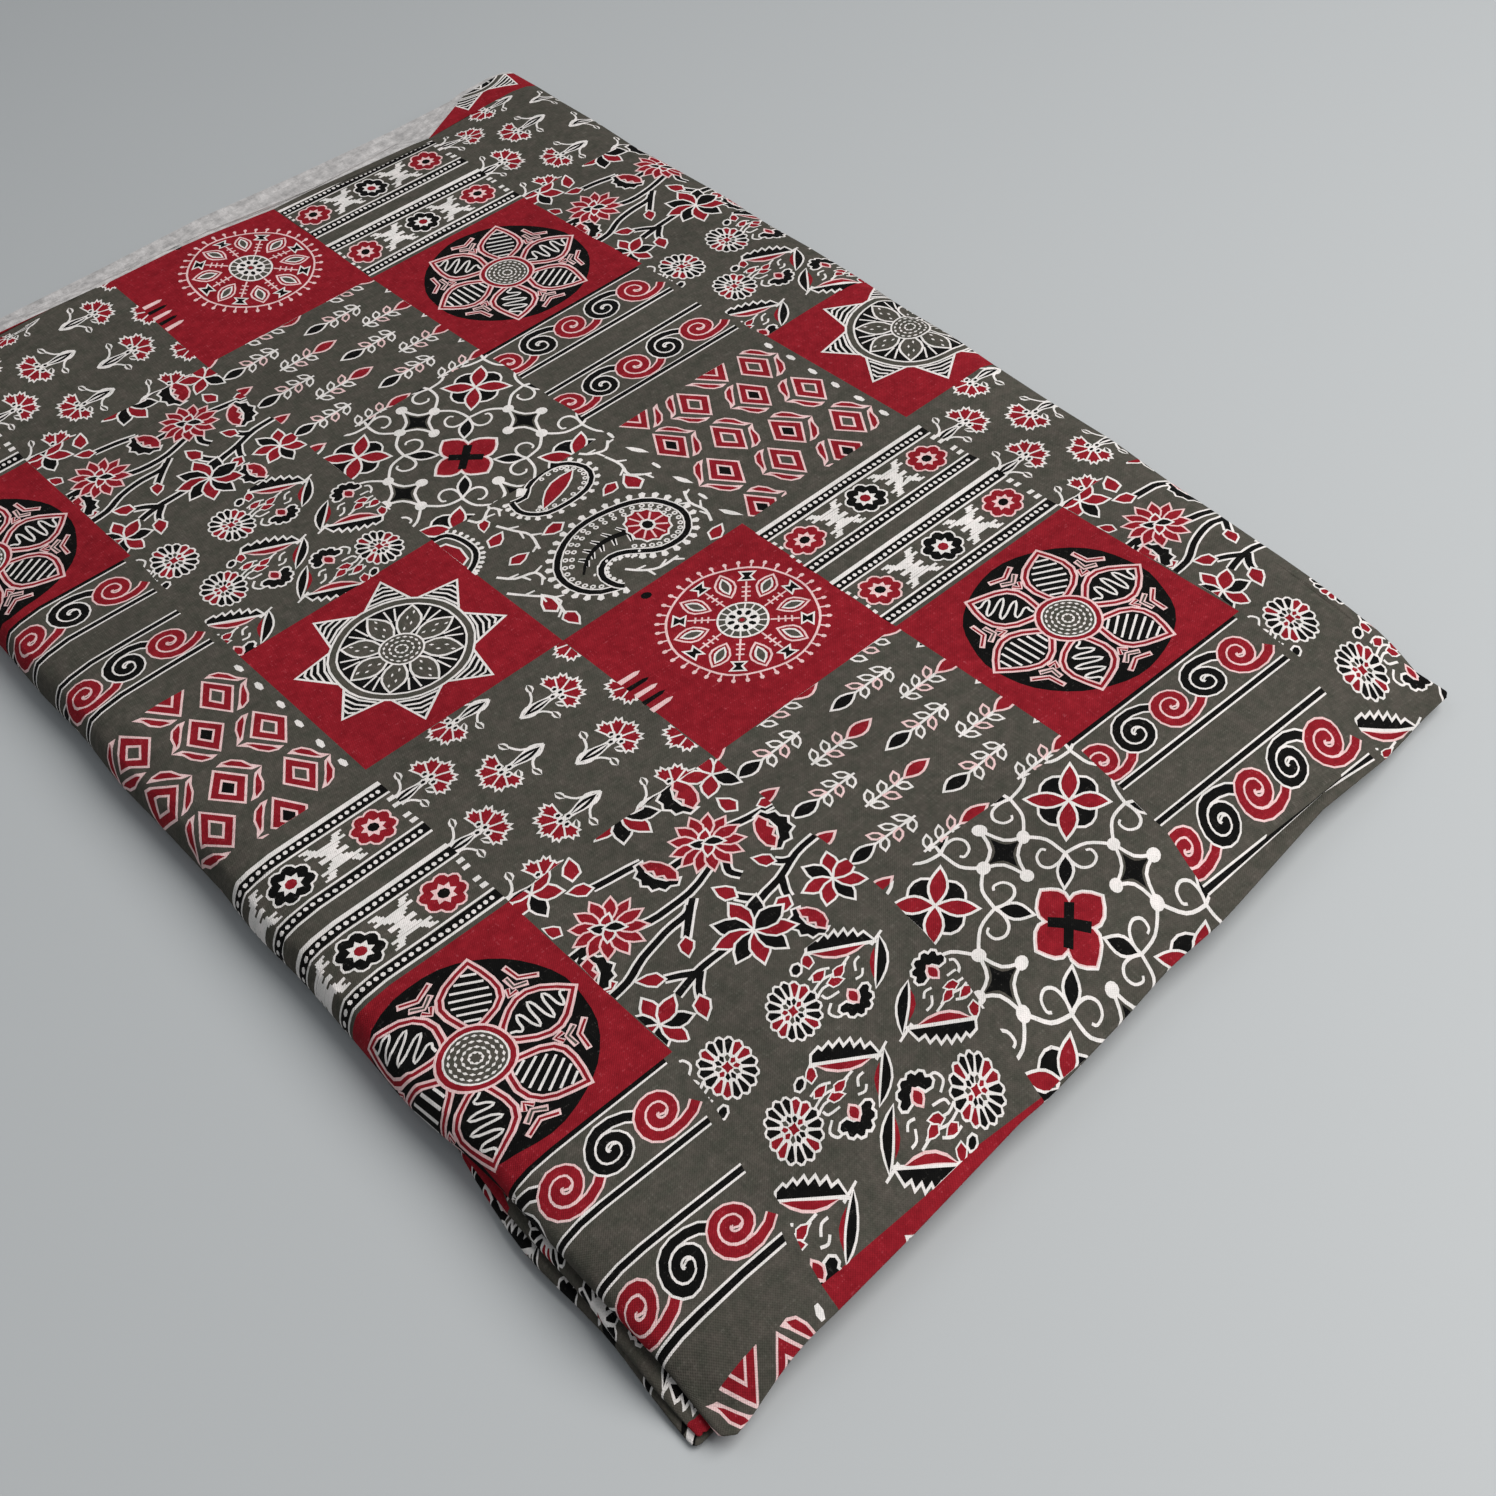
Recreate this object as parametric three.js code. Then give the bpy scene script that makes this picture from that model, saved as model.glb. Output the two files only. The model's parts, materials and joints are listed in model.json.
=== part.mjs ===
// Kalamkari fabric: one length of block-printed cotton, put up for sale.
// The cloth is first folded in half down its length, selvage to selvage, and the doubled
// cloth is then lapped back and forth into a flat pack. X runs across the laps, Y runs along
// their folds from the centre fold (front) to the selvages (back), and Z is up. The solid is
// the doubled cloth, two plies pressed together, as one back-and-forth section.
import * as THREE from 'three';

// Driving dimensions, mm
const HALF_WIDTH = 560;        // half of a 44 inch cloth, centre fold to selvage
const SLACK = 13;              // taken up by soft waves at the loose right side, by the selvages
const SHEET = 2.0;             // one lap of the doubled cloth
const GAP = 0.7;               // air between two laps
const PITCH = SHEET + GAP;     // from one level of the pack to the next
// Where the folds of each side lie, and the centre fold, which runs a little off the grain
const LEFT_EDGE = { front: -177, middle: -171, back: -164 };
const RIGHT_EDGE = { front: 145, middle: 175, back: 184 };
const CENTRE_FOLD = { left: -281, right: -257 };
const ARC_STEP = Math.PI / 5;  // a fold is turned in steps of this angle

// The path of the doubled cloth through the levels of the pack, 1 at the bottom and 8 on top.
// Each row is one lap: the side it runs towards and how far it stops short there, at the front,
// in the middle and at the back of the pack (negative reaches out past the edge), then how far
// its centre fold lies behind the top lap's, and how far its selvages reach past HALF_WIDTH.
const LAPS = [
  { level: 7, towards: 'right', shortFront: 2, shortMiddle: 1, shortBack: 0, centreFold: 4, selvage: 3 },
  { level: 8, towards: 'left', shortFront: 0, shortMiddle: 0, shortBack: 0, centreFold: 0, selvage: 0 },
  { level: 6, towards: 'right', shortFront: 9, shortMiddle: 3, shortBack: 4, centreFold: 3, selvage: 5 },
  { level: 5, towards: 'left', shortFront: -3, shortMiddle: -2, shortBack: -1, centreFold: 6, selvage: 9 },
  { level: 4, towards: 'right', shortFront: 12, shortMiddle: 4, shortBack: 1, centreFold: 7, selvage: 7 },
  { level: 3, towards: 'left', shortFront: -4, shortMiddle: -4, shortBack: -2, centreFold: 5, selvage: 2 },
  { level: 2, towards: 'right', shortFront: 10, shortMiddle: 6, shortBack: 3, centreFold: 8, selvage: 6 },
  { level: 1, towards: 'left', shortFront: 4, shortMiddle: 6, shortBack: 8, centreFold: 9, selvage: 4 },
];
const HIDDEN_END = 14;         // the cut end inside the pack stops this far from the left fold

// Soft forms pressed into the pack, each a smooth hollow: its middle, its half lengths and
// the share of the height that it takes away there.
const HOLLOWS = [
  { x: -186, y: -292, halfX: 46, halfY: 60, share: 0.34 },   // the near corner droops
  { x: 160, y: -270, halfX: 84, halfY: 66, share: 0.42 },    // the front right corner hangs down
  { x: -128, y: -236, halfX: 26, halfY: 20, share: 0.05 },   // a dent behind the near corner
  { x: 40, y: -120, halfX: 120, halfY: 60, share: 0.03 },
  { x: -60, y: 60, halfX: 90, halfY: 110, share: 0.035 },
  { x: 96, y: 150, halfX: 70, halfY: 60, share: 0.03 },
  { x: 20, y: 262, halfX: 150, halfY: 18, share: 0.06 },     // slack cloth along the selvages
];
const FRONT_TAPER = { length: 30, share: 0.38 };   // the pack thins towards its centre folds
const SIDE_ROUND = { length: 11, share: 0.11 };    // and rounds over at its folded sides
const CORNER_SPREAD = 6;                           // the hanging corner spreads to the right

const bump = (t) => (Math.abs(t) < 1 ? (1 - t * t) ** 2 : 0);
const easeIn = (t) => { const c = Math.min(Math.max(t, 0), 1); return c * c * (3 - 2 * c); };
const lerp = (a, b, t) => a + (b - a) * t;

// A soft bow through the values at the front, in the middle and at the back
const bow = (front, middle, back, t) => (
  front * (1 - t) * (1 - 2 * t) + 4 * middle * t * (1 - t) + back * t * (2 * t - 1)
);
const edgeAt = (edge, along) => bow(edge.front, edge.middle, edge.back, along);
const shortAt = (lap, along) => bow(lap.shortFront, lap.shortMiddle, lap.shortBack, along);
const across = (x) => (x - LEFT_EDGE.front) / (RIGHT_EDGE.front - LEFT_EDGE.front);
const centreFoldY = (x) => lerp(CENTRE_FOLD.left, CENTRE_FOLD.right, across(x));
const selvageY = (x) => centreFoldY(x) + HALF_WIDTH - SLACK * across(x);
const levelZ = (level) => SHEET / 2 + (level - 1) * PITCH;

// Shares of a lap at which it has a point: close together near the folds
const LAP_SHARES = [0, 0.025, 0.07, 0.2, 0.4, 0.6, 0.8, 0.93, 0.975, 1];

// Centre line of the section at a place along the pack, with the lap that each point belongs
// to as a number between the laps' places in the table, so that a fold blends its two laps.
function centreLine(along) {
  const points = [];
  const left = edgeAt(LEFT_EDGE, along);
  const right = edgeAt(RIGHT_EDGE, along);
  let startX = left + HIDDEN_END;
  LAPS.forEach((lap, i) => {
    const side = lap.towards === 'right' ? 1 : -1;
    const next = LAPS[i + 1];
    const radius = next ? Math.abs(levelZ(next.level) - levelZ(lap.level)) / 2 : 0;
    const reach = (side > 0 ? right : left) - side * shortAt(lap, along);
    const endX = reach - side * (next ? radius + SHEET / 2 : 0);
    const z = levelZ(lap.level);
    LAP_SHARES.forEach((share) => points.push({ x: lerp(startX, endX, share), z, lap: i }));
    if (next) {
      const up = Math.sign(levelZ(next.level) - z);
      const steps = Math.round(Math.PI / ARC_STEP);
      for (let k = 1; k < steps; k++) {
        const turn = k * ARC_STEP;
        points.push({
          x: endX + side * radius * Math.sin(turn),
          z: z + up * radius * (1 - Math.cos(turn)),
          lap: i + k / steps,
        });
      }
    }
    startX = endX;
  });
  return points;
}

// The height that is left of the pack over a place on the floor, as a share
function heightShare(x, y) {
  const fromFold = y - centreFoldY(x);
  const along = fromFold / HALF_WIDTH;
  let share = 1;
  for (const h of HOLLOWS) share -= h.share * bump((x - h.x) / h.halfX) * bump((y - h.y) / h.halfY);
  share -= FRONT_TAPER.share * easeIn(1 - fromFold / FRONT_TAPER.length);
  share -= SIDE_ROUND.share * easeIn(1 - (x - edgeAt(LEFT_EDGE, along)) / SIDE_ROUND.length);
  share -= SIDE_ROUND.share * easeIn(1 - (edgeAt(RIGHT_EDGE, along) - x) / SIDE_ROUND.length);
  return Math.max(share, 0.5);
}

// Presses a point of the neat pack into its soft form
function settle(x, y, z) {
  const corner = HOLLOWS[1];
  const hang = bump((x - corner.x) / corner.halfX) * bump((y - corner.y) / corner.halfY);
  return [x + CORNER_SPREAD * hang, y, z * heightShare(x, y)];
}

// Places along the pack at which the section stands, and how thick its edge is there
const STATIONS = [
  { along: 0, thickness: 0.55 },
  { along: 0.004, thickness: 1 },
  { along: 0.025, thickness: 1 },
  { along: 0.055, thickness: 1 },
  { along: 0.1, thickness: 1 },
  { along: 0.17, thickness: 1 },
  { along: 0.27, thickness: 1 },
  { along: 0.38, thickness: 1 },
  { along: 0.49, thickness: 1 },
  { along: 0.6, thickness: 1 },
  { along: 0.71, thickness: 1 },
  { along: 0.82, thickness: 1 },
  { along: 0.91, thickness: 1 },
  { along: 0.965, thickness: 1 },
  { along: 1, thickness: 1 },
];

// A value of the two laps that a point lies between
function ofLap(point, column) {
  const i = Math.floor(point.lap);
  const j = Math.min(i + 1, LAPS.length - 1);
  return lerp(LAPS[i][column], LAPS[j][column], point.lap - i);
}

// One station: both faces of the doubled cloth, the outer face first and the inner one back
function ring(station) {
  const line = centreLine(station.along);
  const half = (SHEET / 2) * station.thickness;
  const faces = [1, -1].map((face) => line.map((point, i) => {
    const before = line[Math.max(i - 1, 0)];
    const after = line[Math.min(i + 1, line.length - 1)];
    const dx = after.x - before.x;
    const dz = after.z - before.z;
    const length = Math.hypot(dx, dz);
    const x = point.x - (face * half * dz) / length;
    const z = point.z + (face * half * dx) / length;
    const front = centreFoldY(point.x) + ofLap(point, 'centreFold');
    const back = selvageY(point.x) + ofLap(point, 'selvage');
    return settle(x, lerp(front, back, station.along), z);
  }));
  return [...faces[0], ...faces[1].reverse()];
}

// The rings joined by a skin, and each end closed by a strip between its two faces
function clothGeometry() {
  const rings = STATIONS.map(ring);
  const count = rings[0].length;
  const index = [];
  for (let r = 0; r + 1 < rings.length; r++) {
    for (let i = 0; i < count; i++) {
      const a = r * count + i;
      const b = r * count + ((i + 1) % count);
      index.push(a, b, b + count, a, b + count, a + count);
    }
  }
  const last = (rings.length - 1) * count;
  for (let i = 0; i + 1 < count / 2; i++) {
    const [a, b, c, d] = [i, i + 1, count - 2 - i, count - 1 - i];
    index.push(a, c, b, a, d, c);
    index.push(last + a, last + b, last + c, last + a, last + c, last + d);
  }
  const geometry = new THREE.BufferGeometry();
  geometry.setAttribute('position', new THREE.Float32BufferAttribute(rings.flat(2), 3));
  geometry.setIndex(index);
  return geometry;
}

// The origin is on the floor under the middle of the pack
function centred(geometry) {
  geometry.computeBoundingBox();
  const { min, max } = geometry.boundingBox;
  geometry.translate(-(min.x + max.x) / 2, -(min.y + max.y) / 2, 0);
  geometry.computeVertexNormals();
  return geometry;
}

const printedCotton = new THREE.MeshStandardMaterial({ color: 0x4d4740, roughness: 0.9, metalness: 0 });
const cloth = new THREE.Mesh(centred(clothGeometry()), printedCotton);
cloth.name = 'cloth';

const fabric = new THREE.Group();
fabric.add(cloth);
export default fabric;
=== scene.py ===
"""Kalamkari fabric: one length of block-printed cotton, folded selvage to selvage and then
lapped back and forth into a flat pack. Lengths are millimetres until the mesh is made."""

import json
import math

import bpy
import numpy as np
from mathutils import Matrix, Vector
from mathutils.geometry import delaunay_2d_cdt

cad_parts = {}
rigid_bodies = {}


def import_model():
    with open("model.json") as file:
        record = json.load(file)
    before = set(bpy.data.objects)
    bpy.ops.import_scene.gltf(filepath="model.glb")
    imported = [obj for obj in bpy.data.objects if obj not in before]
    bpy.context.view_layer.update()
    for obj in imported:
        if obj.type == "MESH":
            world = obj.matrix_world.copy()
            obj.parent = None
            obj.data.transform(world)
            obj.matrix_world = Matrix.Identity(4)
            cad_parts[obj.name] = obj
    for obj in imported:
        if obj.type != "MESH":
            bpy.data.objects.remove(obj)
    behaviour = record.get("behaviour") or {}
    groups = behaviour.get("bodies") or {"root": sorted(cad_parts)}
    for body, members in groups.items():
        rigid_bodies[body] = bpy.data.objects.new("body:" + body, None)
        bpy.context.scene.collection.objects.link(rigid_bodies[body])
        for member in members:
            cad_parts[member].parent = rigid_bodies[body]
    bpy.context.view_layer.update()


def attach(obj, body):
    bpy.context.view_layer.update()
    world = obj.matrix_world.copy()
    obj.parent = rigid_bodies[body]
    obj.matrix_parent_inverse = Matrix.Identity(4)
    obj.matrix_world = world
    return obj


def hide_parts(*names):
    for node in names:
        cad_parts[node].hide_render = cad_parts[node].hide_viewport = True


for unused in list(bpy.data.objects):
    bpy.data.objects.remove(unused)
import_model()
MM = 0.001

# ------------------------------
# The studio: a plain pale floor, a large soft light at the front right, a weak one that
# fills in from behind, and the camera that looks down at the pack over its near corner.

CAMERA_AT = Vector((-0.27908, -0.48356, 0.47016))
CAMERA_RIGHT = Vector((0.74480, -0.65983, -0.09950))
CAMERA_UP = Vector((0.53282, 0.49829, 0.68397))
LENS = 48.32
FLOOR_HALF = 3.0

camera = bpy.data.objects.new("camera", bpy.data.cameras.new("camera"))
bpy.context.scene.collection.objects.link(camera)
camera_back = CAMERA_RIGHT.cross(CAMERA_UP)
camera.matrix_world = Matrix.Translation(CAMERA_AT) @ Matrix(
    (CAMERA_RIGHT, CAMERA_UP, camera_back)
).transposed().to_4x4()
camera.data.lens = LENS
camera.data.clip_start = 0.01
bpy.context.scene.camera = camera


def soft_light(name, at, towards, size, watts, colour):
    light = bpy.data.objects.new(name, bpy.data.lights.new(name, "AREA"))
    bpy.context.scene.collection.objects.link(light)
    light.location = at
    light.rotation_euler = (Vector(towards) - Vector(at)).to_track_quat("-Z", "Y").to_euler()
    light.data.shape = "DISK"
    light.data.size = size
    light.data.energy = watts
    light.data.color = colour


soft_light("overhead", (0.7, -0.75, 1.27), (0.1, -0.1, 0.0), 1.5, 33.0, (1.0, 0.99, 0.98))
soft_light("fill", (-0.5, 0.5, 1.6), (0.0, 0.0, 0.0), 1.6, 3.0, (0.93, 0.97, 1.0))

world = bpy.data.worlds.new("studio")
world.use_nodes = True
world.node_tree.nodes["Background"].inputs["Color"].default_value = (0.86, 0.9, 0.95, 1.0)
world.node_tree.nodes["Background"].inputs["Strength"].default_value = 0.25
bpy.context.scene.world = world
bpy.context.scene.view_settings.view_transform = "Standard"

bpy.ops.object.select_all(action="DESELECT")
bpy.ops.mesh.primitive_plane_add(size=2 * FLOOR_HALF, location=(0.0, 0.0, 0.0))
floor = bpy.context.active_object
floor.name = "floor"
floor_paint = bpy.data.materials.new("pale_floor")
floor_paint.use_nodes = True
floor_shader = floor_paint.node_tree.nodes["Principled BSDF"]
floor_shader.inputs["Base Color"].default_value = (0.415, 0.43, 0.435, 1.0)
floor_shader.inputs["Roughness"].default_value = 0.55
floor.data.materials.append(floor_paint)

# ------------------------------
# The folded length: a cotton cloth of 44 inches, doubled down its middle and lapped eight
# times between two sides. These are the sizes of its solid, which it lies in. U runs along
# the cloth's length and V across its width, and on the top lap U is X and V is Y.

HALF_WIDTH = 560.0
SLACK = 13.0                   # taken up by soft waves at the loose right side
HALF_SHEET = 1.0               # half of one lap of the doubled cloth
PITCH = 2.7                    # from one level of the pack to the next
PLY = 0.95                     # each ply lies this far from the middle of its lap
QUARTER = PLY * math.pi / 2    # the cloth in half of the centre fold
FOLD_GAIN = QUARTER - PLY      # and how much more that is than the fold's own depth
LEFT_EDGE = (-178.5, -172.5, -165.5)     # front, middle and back
RIGHT_EDGE = (143.5, 173.5, 182.5)
CENTRE_FOLD = (-290.7, -266.7)           # at the left and at the right
PRINT_AT = (198.0, 204.2)      # the corner of a printing block lies this far left and in front
REVERSE = 9.0                  # the most of the pale wrong side that the second plies show
REVERSE_AT = 15.0              # X of that
REVERSE_HALF = 150.0           # and how far from there it has narrowed
HIDDEN_END = 14.0              # the cut end inside the pack stops short of the left fold
PRINTED_TO = 457.5             # V where the print stops, where the top ply falls short
UNPRINTED = 2.0                # how wide the pale selvage is elsewhere

# One lap a line, in the order of the cloth: its level, the side that it runs towards, how
# far it stops short there at the front, in the middle and at the back, how far its centre
# fold lies behind the top lap's, and how far its selvages reach past the half width.
LAPS = [
    (7, 1, (2, 1, 0), 4, 3),
    (8, -1, (0, 0, 0), 0, 0),
    (6, 1, (9, 3, 4), 3, 5),
    (5, -1, (-3, -2, -1), 6, 9),
    (4, 1, (12, 4, 1), 7, 7),
    (3, -1, (-4, -4, -2), 5, 2),
    (2, 1, (10, 6, 3), 8, 6),
    (1, -1, (4, 6, 8), 9, 4),
]
TOP_LAP = 1
LAST_LAP = len(LAPS) - 1
LAP_NUMBERS = np.arange(len(LAPS))
BEHIND = np.array([lap[3] for lap in LAPS], float)
PAST = np.array([lap[4] for lap in LAPS], float)


def by_lap(lap, values):
    """A value that is given for every lap, blended over the folds between them."""
    return np.interp(lap, LAP_NUMBERS, values)


def bow(values, along):
    """A soft bow through the values at the front, in the middle and at the back."""
    front, middle, back = values
    near = front * (1 - along) * (1 - 2 * along)
    return near + 4 * middle * along * (1 - along) + back * along * (2 * along - 1)


def level_z(lap):
    return HALF_SHEET + (LAPS[lap][0] - 1) * PITCH


def fold_radius(lap):
    return abs(level_z(lap + 1) - level_z(lap)) / 2


def lap_end(lap, along):
    """Where the flat run of a lap ends, on the side that it runs towards."""
    side = LAPS[lap][1]
    reach = bow(RIGHT_EDGE if side > 0 else LEFT_EDGE, along) - side * bow(LAPS[lap][2], along)
    if lap == LAST_LAP:
        return reach
    return reach - side * (fold_radius(lap) + HALF_SHEET)


def section(length_at, along):
    """The middle of the doubled cloth at a place along its length: X, height, the direction
    in which its first ply faces, and the lap as a number that turns evenly in a fold."""
    right_end = lap_end(0, along)
    radius = fold_radius(0)
    beyond = length_at - (right_end + PRINT_AT[0])
    turn = np.clip(beyond / (radius + PLY), 0, math.pi)
    straight = np.maximum(beyond - math.pi * (radius + PLY), 0)
    turned = beyond > 0
    x = np.where(turned, right_end + radius * np.sin(turn) - straight, length_at - PRINT_AT[0])
    z = level_z(TOP_LAP) - radius * (1 - np.cos(turn))
    facing_x = np.sin(turn)
    facing_z = np.cos(turn)
    lap = TOP_LAP - turn / math.pi
    gone = lap_end(TOP_LAP, along) + PRINT_AT[0] - length_at
    for i in range(TOP_LAP, LAST_LAP):
        side = LAPS[i][1]
        radius = fold_radius(i)
        end = lap_end(i, along)
        turn = np.clip(gone / (radius + PLY), 0, math.pi)
        straight = np.maximum(gone - math.pi * (radius + PLY), 0)
        turned = gone > 0
        x = np.where(turned, end + side * (radius * np.sin(turn) - straight), x)
        z = np.where(turned, level_z(i) - radius * (1 - np.cos(turn)), z)
        facing_x = np.where(turned, -np.sin(turn), facing_x)
        facing_z = np.where(turned, -side * np.cos(turn), facing_z)
        lap = np.where(turned, i + turn / math.pi, lap)
        gone = gone - math.pi * (radius + PLY) - np.abs(lap_end(i + 1, along) - end)
    return x, z, facing_x, facing_z, lap


def across(x):
    return (x - LEFT_EDGE[0]) / (RIGHT_EDGE[0] - LEFT_EDGE[0])


def front_of(x, lap):
    """Y of the centre fold."""
    top = CENTRE_FOLD[0] + (CENTRE_FOLD[1] - CENTRE_FOLD[0]) * across(x)
    return top + by_lap(lap, BEHIND)


def width_of(x, lap):
    """From the centre fold to the selvage, over the cloth."""
    return HALF_WIDTH - SLACK * across(x) + by_lap(lap, PAST - BEHIND) + FOLD_GAIN


def printed_width(x, lap):
    """From the centre fold to where the print stops on the top ply."""
    return PRINTED_TO + FOLD_GAIN - PRINT_AT[1] - front_of(x, lap)


def fold_up(u, v):
    """Where a place of the flat cloth lies in the neat pack: the section's values there, the
    distance from the centre fold over the cloth (negative on the second ply) and its Y."""
    off = v - (CENTRE_FOLD[0] + PRINT_AT[1])
    for _ in range(5):
        along = np.clip(np.abs(off) / HALF_WIDTH, 0, 1)
        x, z, facing_x, facing_z, lap = section(u, along)
        front = front_of(x, lap)
        off = v - (front + PRINT_AT[1] - FOLD_GAIN)
    turn = np.clip(off / PLY, -math.pi / 2, math.pi / 2)
    y = front + PLY * (1 - np.cos(turn)) + np.maximum(np.abs(off) - QUARTER, 0)
    return x, z, facing_x, facing_z, lap, off, y, PLY * np.sin(turn)


# Soft forms pressed into the pack: middle, half lengths and the share of height taken away
HOLLOWS = [
    (-187.5, -301.7, 46, 60, 0.42),   # the near corner droops
    (158.5, -279.7, 84, 66, 0.5),     # the front right corner hangs down
    (-129.5, -245.7, 26, 20, 0.06),   # a dent behind the near corner
    (38.5, -129.7, 120, 60, 0.03),
    (-61.5, 50.3, 90, 110, 0.035),
    (94.5, 140.3, 70, 60, 0.03),
    (18.5, 252.3, 150, 18, 0.06),     # slack cloth along the selvages
]
HANGING = HOLLOWS[1]
CORNER_SPREAD = 6.0
FRONT_TAPER = (30.0, 0.42)     # how far in the pack thins towards its centre folds, and by how much
SIDE_ROUND = (11.0, 0.13)
LEAST_SHARE = 0.3


def bump(t):
    return np.where(np.abs(t) < 1, (1 - t * t) ** 2, 0)


def ease(t):
    t = np.clip(t, 0, 1)
    return t * t * (3 - 2 * t)


def ramp(at, low, high):
    """Eases from 0 at low to 1 at high."""
    return ease((at - low) / (high - low))


def pressed(form, x, y):
    return bump((x - form[0]) / form[2]) * bump((y - form[1]) / form[3])


def height_share(x, y):
    in_from_fold = y - front_of(x, TOP_LAP)
    along = np.clip(in_from_fold / HALF_WIDTH, 0, 1)
    share = 1 - FRONT_TAPER[1] * ease(1 - in_from_fold / FRONT_TAPER[0])
    for form in HOLLOWS:
        share = share - form[4] * pressed(form, x, y)
    share = share - SIDE_ROUND[1] * ease(1 - (x - bow(LEFT_EDGE, along)) / SIDE_ROUND[0])
    share = share - SIDE_ROUND[1] * ease(1 - (bow(RIGHT_EDGE, along) - x) / SIDE_ROUND[0])
    return np.maximum(share, LEAST_SHARE)


# How far the selvages of the first and of the second ply of each lap slide back or forth
FIRST_SLIDE = (-7.0, -6.0, -6.0, -6.0, -5.0, -1.0, -4.0, -3.0)
SECOND_SLIDE = (-4.0, -8.0, -4.0, -5.0, -7.0, 1.0, -5.0, -1.0)
SLIDE_RIGHT = -5.0             # and all of them on at the right side
SLIDING = 60.0                 # the part of the width that gives
SELVAGE_LEFT = 3.0             # how much of it is left to see on the top ply
SHORT_LEFT = (-125.0, -60.0)   # between these X the top ply's selvage comes to fall short
SHORT_RIGHT = (95.0, 150.0)    # and between these it is out again
WRAP_FROM = (70.0, 150.0)      # so far behind its centre fold the top lap comes to wrap the others
WRAP_OUT = 2.0                 # how far its left fold bulges out there
TUCK_IN = 9.0                  # and how far the left folds below it lie in
WRAPPING = 36.0                # how much of the laps gives for that
UNDER_DROP = 0.7               # the share of its height that the lap after that fold loses
DROPPING = 14.0                # and how far in
FOLD_PHASES = (3, 1, 4, 2, 5, 3, 6, 2)   # no two laps' centre folds wave alike
SIDE_WAVES = 26.0              # how far in from the sides the laps are uneven
UNEVEN_SIDES = 1.3             # and how much, as in the next two
FRONT_WAVES = 22.0             # and how far behind their centre folds
UNEVEN_FRONT = 1.2
UNEVEN_SELVAGE = 2.0
LIFTED = 110.0                 # how far from the selvages the slack cloth starts to lift
LIFT = 2.5                     # by at least this much
MORE_LIFT = 5.5                # and by this much more in the middle
LIFT_LEFT = (-178.0, -108.0)   # between these X it comes to that
LIFT_RIGHT = (-20.0, 110.0)    # and between these it lies down again
SOFT = 0.25                    # the soft waves of the whole pack
CREASES = [
    (118, 205, 60, 9, 0.7),
    (150, 172, 44, 8, 0.6),
    (96, 236, 50, 7, 0.6),
    (-40, -190, 60, 14, 0.4),
]


def wave(t, phase):
    """A loose unevenness between -1 and 1."""
    slow = 0.5 * np.sin(t / 9.0 + 2.1 * phase) + 0.3 * np.sin(t / 23.0 - 1.3 * phase)
    return slow + 0.2 * np.sin(t / 5.1 + phase)


def falls_short(x, lap):
    """1 where the top ply's selvage lies well inside those below it, and 0 elsewhere."""
    on_top = np.clip(1 - np.abs(lap - TOP_LAP) * 2, 0, 1)
    return on_top * ramp(x, *SHORT_LEFT) * ramp(x, *reversed(SHORT_RIGHT))


def settle(x, y, z, lap, off):
    """Loosens a place of the neat pack and presses it into its soft form."""
    along = np.clip(np.abs(off) / HALF_WIDTH, 0, 1)
    level = z / level_z(TOP_LAP)
    width = width_of(x, lap)
    printed = printed_width(x, lap)
    on_top_ply = falls_short(x, lap) * (off > 0)
    gives = SLIDING + (width - printed - SLIDING) * on_top_ply
    slid = ease((np.abs(off) - width + gives) / gives)
    slide = np.where(off > 0, by_lap(lap, FIRST_SLIDE), by_lap(lap, SECOND_SLIDE))
    slide = slide + SLIDE_RIGHT * across(x) + UNEVEN_SELVAGE * wave(x, lap + 4.0 * (off > 0))
    on_top = printed + SELVAGE_LEFT + 1.5 * wave(x * 0.8, 3.0) - width
    y = y + slid * (slide + (on_top - slide) * on_top_ply)

    # The top lap wraps the left folds below it, and both sides are uneven
    in_from_left = x - bow(LEFT_EDGE, along)
    wraps = ramp(np.abs(off), *WRAP_FROM)
    under = UNDER_DROP * np.clip(lap - TOP_LAP, 0, 1) * ease(1 - in_from_left / DROPPING)
    z = z * (1 - under * wraps)
    turning_left = ease(1 - in_from_left / SIDE_WAVES)
    wrap = np.where(lap < 2.5, -WRAP_OUT, TUCK_IN) * ease(1 - in_from_left / WRAPPING)
    x = x + wrap * wraps
    turning_right = ease(1 - (bow(RIGHT_EDGE, along) - x) / SIDE_WAVES)
    left_fold = np.floor((lap + 1) / 2)
    right_fold = np.floor(lap / 2)
    lower_more = 1.1 - 0.4 * level
    x = x + UNEVEN_SIDES * turning_left * wave(y * 0.7, left_fold + 1.0) * lower_more
    x = x + UNEVEN_SIDES * turning_right * wave(y * 0.7, right_fold + 5.0) * lower_more
    near_fold = ease(1 - (np.abs(off) - QUARTER) / FRONT_WAVES)
    y = y + UNEVEN_FRONT * near_fold * wave(x * 0.8, by_lap(lap, FOLD_PHASES))

    # The soft waves of the whole pack, which the lower laps share less and less
    soft = SOFT * wave(x * 0.6 + y * 0.25, 2.0) + SOFT * wave(y * 0.5 - x * 0.2, 5.0)
    for form in CREASES:
        soft = soft - form[4] * pressed(form, x, y)
    at_selvage = ease(1 - (width - np.abs(off)) / LIFTED)
    lift = LIFT + MORE_LIFT * ramp(x, *LIFT_LEFT) * ramp(x, *reversed(LIFT_RIGHT))
    soft = soft + at_selvage * (lift + 1.3 * wave(x * 0.6, 7.0))
    z = z * height_share(x, y) + soft * level ** 2
    return x + CORNER_SPREAD * pressed(HANGING, x, y), y, z


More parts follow.
